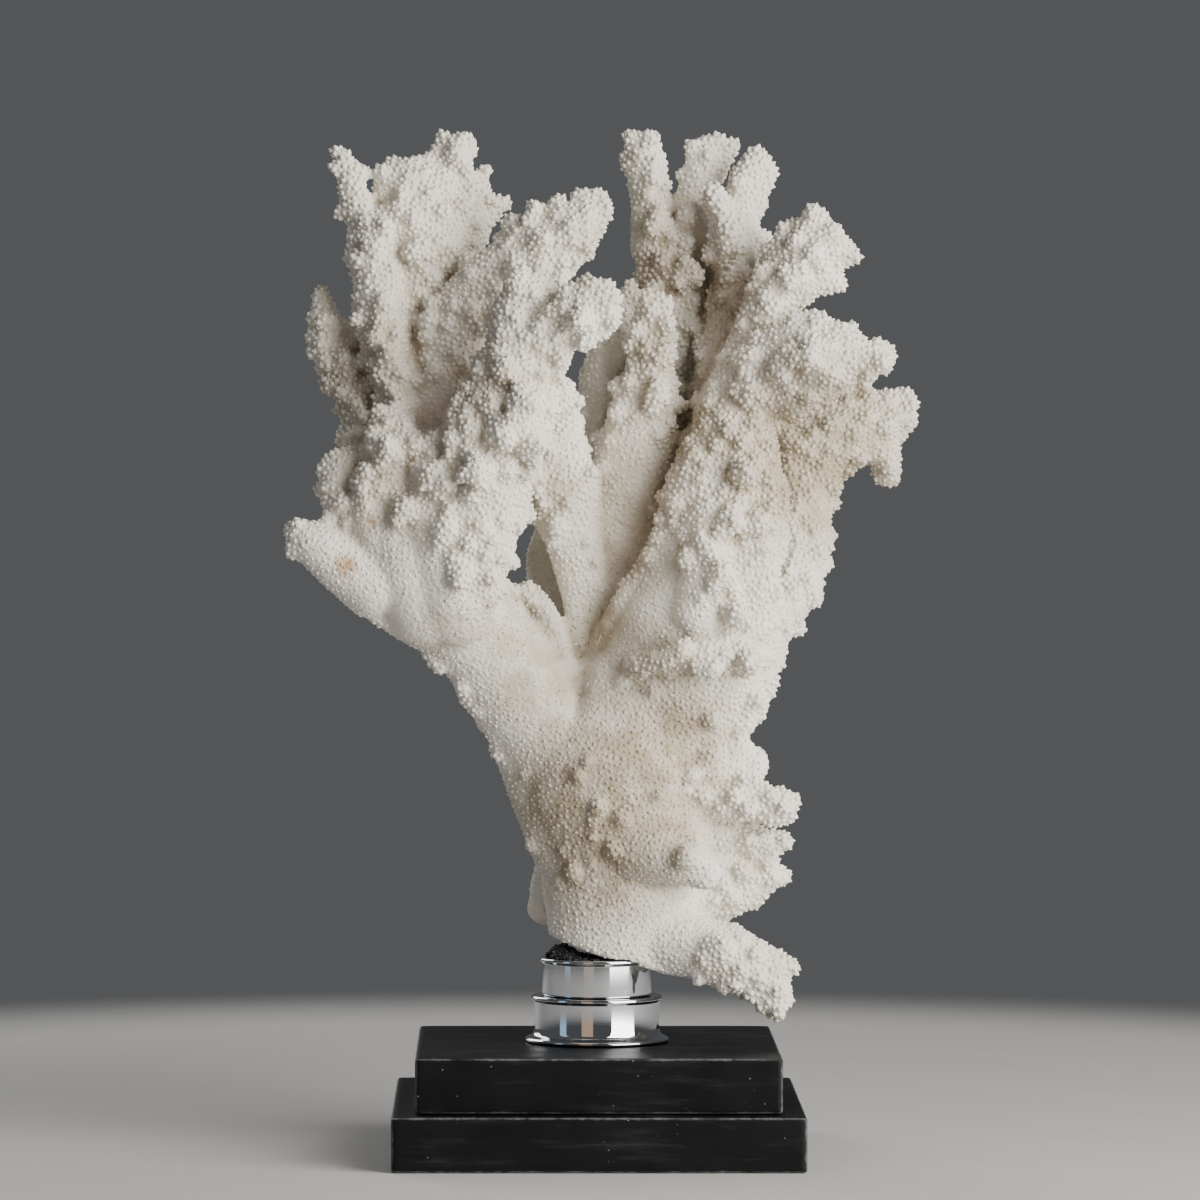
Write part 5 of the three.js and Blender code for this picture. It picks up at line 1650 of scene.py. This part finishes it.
def turned(name, outline):
    """A closed turned piece from its outline, axis to axis, with rounded corners."""
    sides = TURNED_SIDES
    rows = []
    for i, (radius, height) in enumerate(outline):
        if 0 < i < len(outline) - 1:
            before, here, after = (np.array(outline[k], float) for k in (i - 1, i, i + 1))
            into, out = before - here, after - here
            cut = min(EDGE_BREAK, 0.4 * np.linalg.norm(into), 0.4 * np.linalg.norm(out))
            start, end = here + unit(into) * cut, here + unit(out) * cut
            for part in np.linspace(0, 1, CORNER_STEPS):
                rows.append((1 - part) ** 2 * start + 2 * part * (1 - part) * here
                            + part ** 2 * end)
        else:
            rows.append(np.array((radius, height), float))
    turn = np.linspace(0, 2 * math.pi, sides, endpoint=False)
    places = []
    for radius, height in rows[1:-1]:
        places.extend((radius * math.cos(a), radius * math.sin(a), height) for a in turn)
    places.extend([(0, 0, rows[0][1]), (0, 0, rows[-1][1])])
    return merged(mesh_of(name, np.array(places) * MM, closed_faces(len(rows) - 2, sides)))


class CORAL_OT_collar(bpy.types.Operator):
    """Turn the chrome foot ring and the cup that stands on it"""

    bl_idname = "coral.collar"
    bl_label = "Turn Collar"

    def execute(self, context):
        material = chrome_material(context.scene.coral_stand)
        for name, bottom, outline in (("foot_ring", RING_BOTTOM, RING_OUTLINE),
                                      ("cup", CUP_BOTTOM, CUP_OUTLINE)):
            mesh = turned(name, [(radius, bottom + height) for radius, height in outline])
            own_piece(name, mesh, material, "chrome", "collar_" + name)
        return {"FINISHED"}


def grain_tree():
    """Crumbs of grit spread over the upper side of a heap."""
    tree, nodes, value, result = surface_tree("Grit Grains")
    normal = nodes.add("GeometryNodeInputNormal").outputs[0]
    upright = nodes.add("ShaderNodeSeparateXYZ", {"Vector": normal}).outputs[2]
    upward = nodes.math("GREATER_THAN", upright, 0.15)
    spread = nodes.add("GeometryNodeDistributePointsOnFaces", {
        "Mesh": value["Geometry"], "Selection": upward, "Distance Min": value["Spacing"],
        "Density Max": GRAIN_DENSITY, "Seed": value["Seed"]}, distribute_method="POISSON")
    crumb = nodes.add("GeometryNodeMeshIcoSphere", {"Radius": 1.0, "Subdivisions": 1})
    place = nodes.add("GeometryNodeInputPosition").outputs[0]
    shift = nodes.add("ShaderNodeTexNoise", {"Vector": place, "Scale": 1.3, "Detail": 2.0})
    jag = nodes.vector("SUBTRACT", {0: shift.outputs[1], 1: (0.5, 0.5, 0.5)})
    jag = nodes.vector("SCALE", {0: jag, "Scale": 1.5})
    crumb = nodes.add("GeometryNodeSetPosition", {"Geometry": crumb.outputs[0], "Offset": jag})
    turn = nodes.add("FunctionNodeRandomValue", {
        "Seed": value["Seed"], 0: (0, 0, 0), 1: (6.28, 6.28, 6.28)}, data_type="FLOAT_VECTOR")
    size = nodes.add("FunctionNodeRandomValue", {
        "Seed": nodes.plus(value["Seed"], 1), 2: 0.35, 3: 1.0}, data_type="FLOAT")
    crumbs = nodes.add("GeometryNodeInstanceOnPoints", {
        "Points": spread.outputs[0], "Instance": crumb.outputs[0], "Rotation": turn.outputs[0],
        "Scale": nodes.times(size.outputs[1], value["Size"])})
    made_real(nodes, result, crumbs.outputs[0], value["Geometry"])
    return tree


class CORAL_OT_bedding(bpy.types.Operator):
    """Heap the black grit that holds the coral in the cup"""

    bl_idname = "coral.bedding"
    bl_label = "Heap Bedding"

    def execute(self, context):
        settings = context.scene.coral_stand
        made = with_nodes(heap_mesh(), grain_tree(), {
            "Spacing": settings.grain_spacing, "Size": settings.grain_size, "Seed": GRIT_SEED})
        made.polygons.foreach_set("use_smooth", [False] * len(made.polygons))
        own_piece("grit_bedding", made, grit_material(settings), "black_grit", "collar_bedding")
        return {"FINISHED"}


def heap_mesh():
    """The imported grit: a closed disc in the cup, heaped up on the left."""
    radius = CUP_INSIDE_RADIUS - GRIT_SIDE_GAP
    bottom = CUP_BOTTOM + GRIT_FLOOR
    rings, sides = HEAP_RINGS, HEAP_SIDES
    places, faces = [], []
    for ring in range(1, rings + 1):
        r = radius * ring / rings
        for side in range(sides):
            a = 2 * math.pi * side / sides
            x, y = r * math.cos(a), r * math.sin(a)
            places.append((x, y, heap_height(x, y)))
    for ring in range(rings - 1):
        for side in range(sides):
            a, b = ring * sides + side, ring * sides + (side + 1) % sides
            faces.append((a, a + sides, b + sides, b))
    top, last = len(places), (rings - 1) * sides
    places.append((0, 0, heap_height(0, 0)))
    rim = len(places)
    places.extend((p[0], p[1], bottom) for p in places[last:last + sides])
    places.append((0, 0, bottom))
    for side in range(sides):
        after = (side + 1) % sides
        faces.append((top, side, after))
        faces.append((last + side, rim + side, rim + after, last + after))
        faces.append((len(places) - 1, rim + after, rim + side))
    return mesh_of("heap", np.array(places) * MM, faces)


def heap_height(x, y):
    """Height of the grit in millimetres: level with the rim, heaped on the left."""
    across, back, height, spread = HEAP
    heap = height * math.exp(-((x - across) ** 2 + (y - back) ** 2) / spread)
    ripple = 0.7 * math.sin(0.9 * x + 1.3 * y) + 0.6 * math.sin(1.7 * x - 1.1 * y)
    level = CUP_TOP - GRIT_LEVEL + heap + ripple
    edge = math.hypot(x, y) / (CUP_INSIDE_RADIUS - GRIT_SIDE_GAP)
    level -= 1.2 * max(0.0, edge - 0.93) / 0.07
    ceiling = max(height_on(line, x) for line in UNDERSIDE)
    return min(level, ceiling - NUB_GAP)


# Stage


def soft_light(name, place, target, size, colour, power):
    """A soft rectangular light that faces its target."""
    lamp = bpy.data.lights.new(name, "AREA")
    lamp.shape, lamp.size, lamp.size_y = "RECTANGLE", size[0], size[1]
    lamp.energy, lamp.color = power, colour
    light = new_object(name, lamp)
    light.location = place
    light.rotation_euler = (Vector(target) - Vector(place)).to_track_quat("-Z", "Y").to_euler()


class CORAL_OT_stage(bpy.types.Operator):
    """Lay the pale floor, hang the soft lights and set up the camera"""

    bl_idname = "coral.stage"
    bl_label = "Set Stage"

    def execute(self, context):
        settings = context.scene.coral_stage
        half = FLOOR_HALF_SIDE
        floor = new_object("floor", mesh_of(
            "floor", [(-half, -half, 0), (half, -half, 0), (half, half, 0), (-half, half, 0)],
            [(0, 1, 2, 3)]))
        floor.data.materials.append(floor_material(settings))
        for name, place, height, size, colour, power in LIGHTS:
            soft_light(name, place, (0, 0, height), size, colour, getattr(settings, power))
        world = bpy.data.worlds.new("surround")
        world.use_nodes = True
        sky = world.node_tree.nodes["Background"]
        sky.inputs[0].default_value = SKY
        sky.inputs[1].default_value = settings.surround
        context.scene.world = world
        camera = bpy.data.cameras.new("camera")
        camera.sensor_width, camera.lens = 36.0, 36.0 * FOCAL_PIXELS / FRAME_PIXELS
        camera.clip_end = 20.0
        holder = new_object("camera", camera)
        yaw, pitch, roll = (math.radians(angle) for angle in CAMERA_ANGLES)
        aim = Matrix.Rotation(-yaw, 4, "Z") @ Matrix.Rotation(math.pi / 2 + pitch, 4, "X")
        holder.matrix_world = Matrix.Translation(EYE * MM) @ aim @ Matrix.Rotation(roll, 4, "Z")
        context.scene.camera = holder
        return {"FINISHED"}


class CORAL_PT_panel(bpy.types.Panel):
    """Settings and steps of the mounted coral"""

    bl_label = "Coral on a Plinth"
    bl_idname = "CORAL_PT_panel"
    bl_space_type = "VIEW_3D"
    bl_region_type = "UI"
    bl_category = "Coral"

    def draw(self, context):
        layout = self.layout
        for title, group in (("Coral", context.scene.coral), ("Stand", context.scene.coral_stand),
                             ("Stage", context.scene.coral_stage)):
            box = layout.box()
            box.label(text=title)
            for name in group.bl_rna.properties.keys():
                if name not in ("rna_type", "name"):
                    box.prop(group, name)
        for step in STEPS:
            layout.operator(step.bl_idname)


STEPS = (CORAL_OT_plinth, CORAL_OT_collar, CORAL_OT_bedding, CORAL_OT_limbs, CORAL_OT_stage)
CLASSES = (CoralSettings, StandSettings, StageSettings, *STEPS, CORAL_PT_panel)
GROUPS = {"coral": CoralSettings, "coral_stand": StandSettings, "coral_stage": StageSettings}


def register():
    for cls in CLASSES:
        bpy.utils.register_class(cls)
    for name, cls in GROUPS.items():
        setattr(bpy.types.Scene, name, bpy.props.PointerProperty(type=cls))


def unregister():
    for name in GROUPS:
        delattr(bpy.types.Scene, name)
    for cls in reversed(CLASSES):
        bpy.utils.unregister_class(cls)


def main():
    register()
    bpy.ops.coral.plinth()
    bpy.ops.coral.collar()
    bpy.ops.coral.bedding()
    bpy.ops.coral.limbs()
    bpy.ops.coral.stage()


if __name__ == "__main__":
    main()
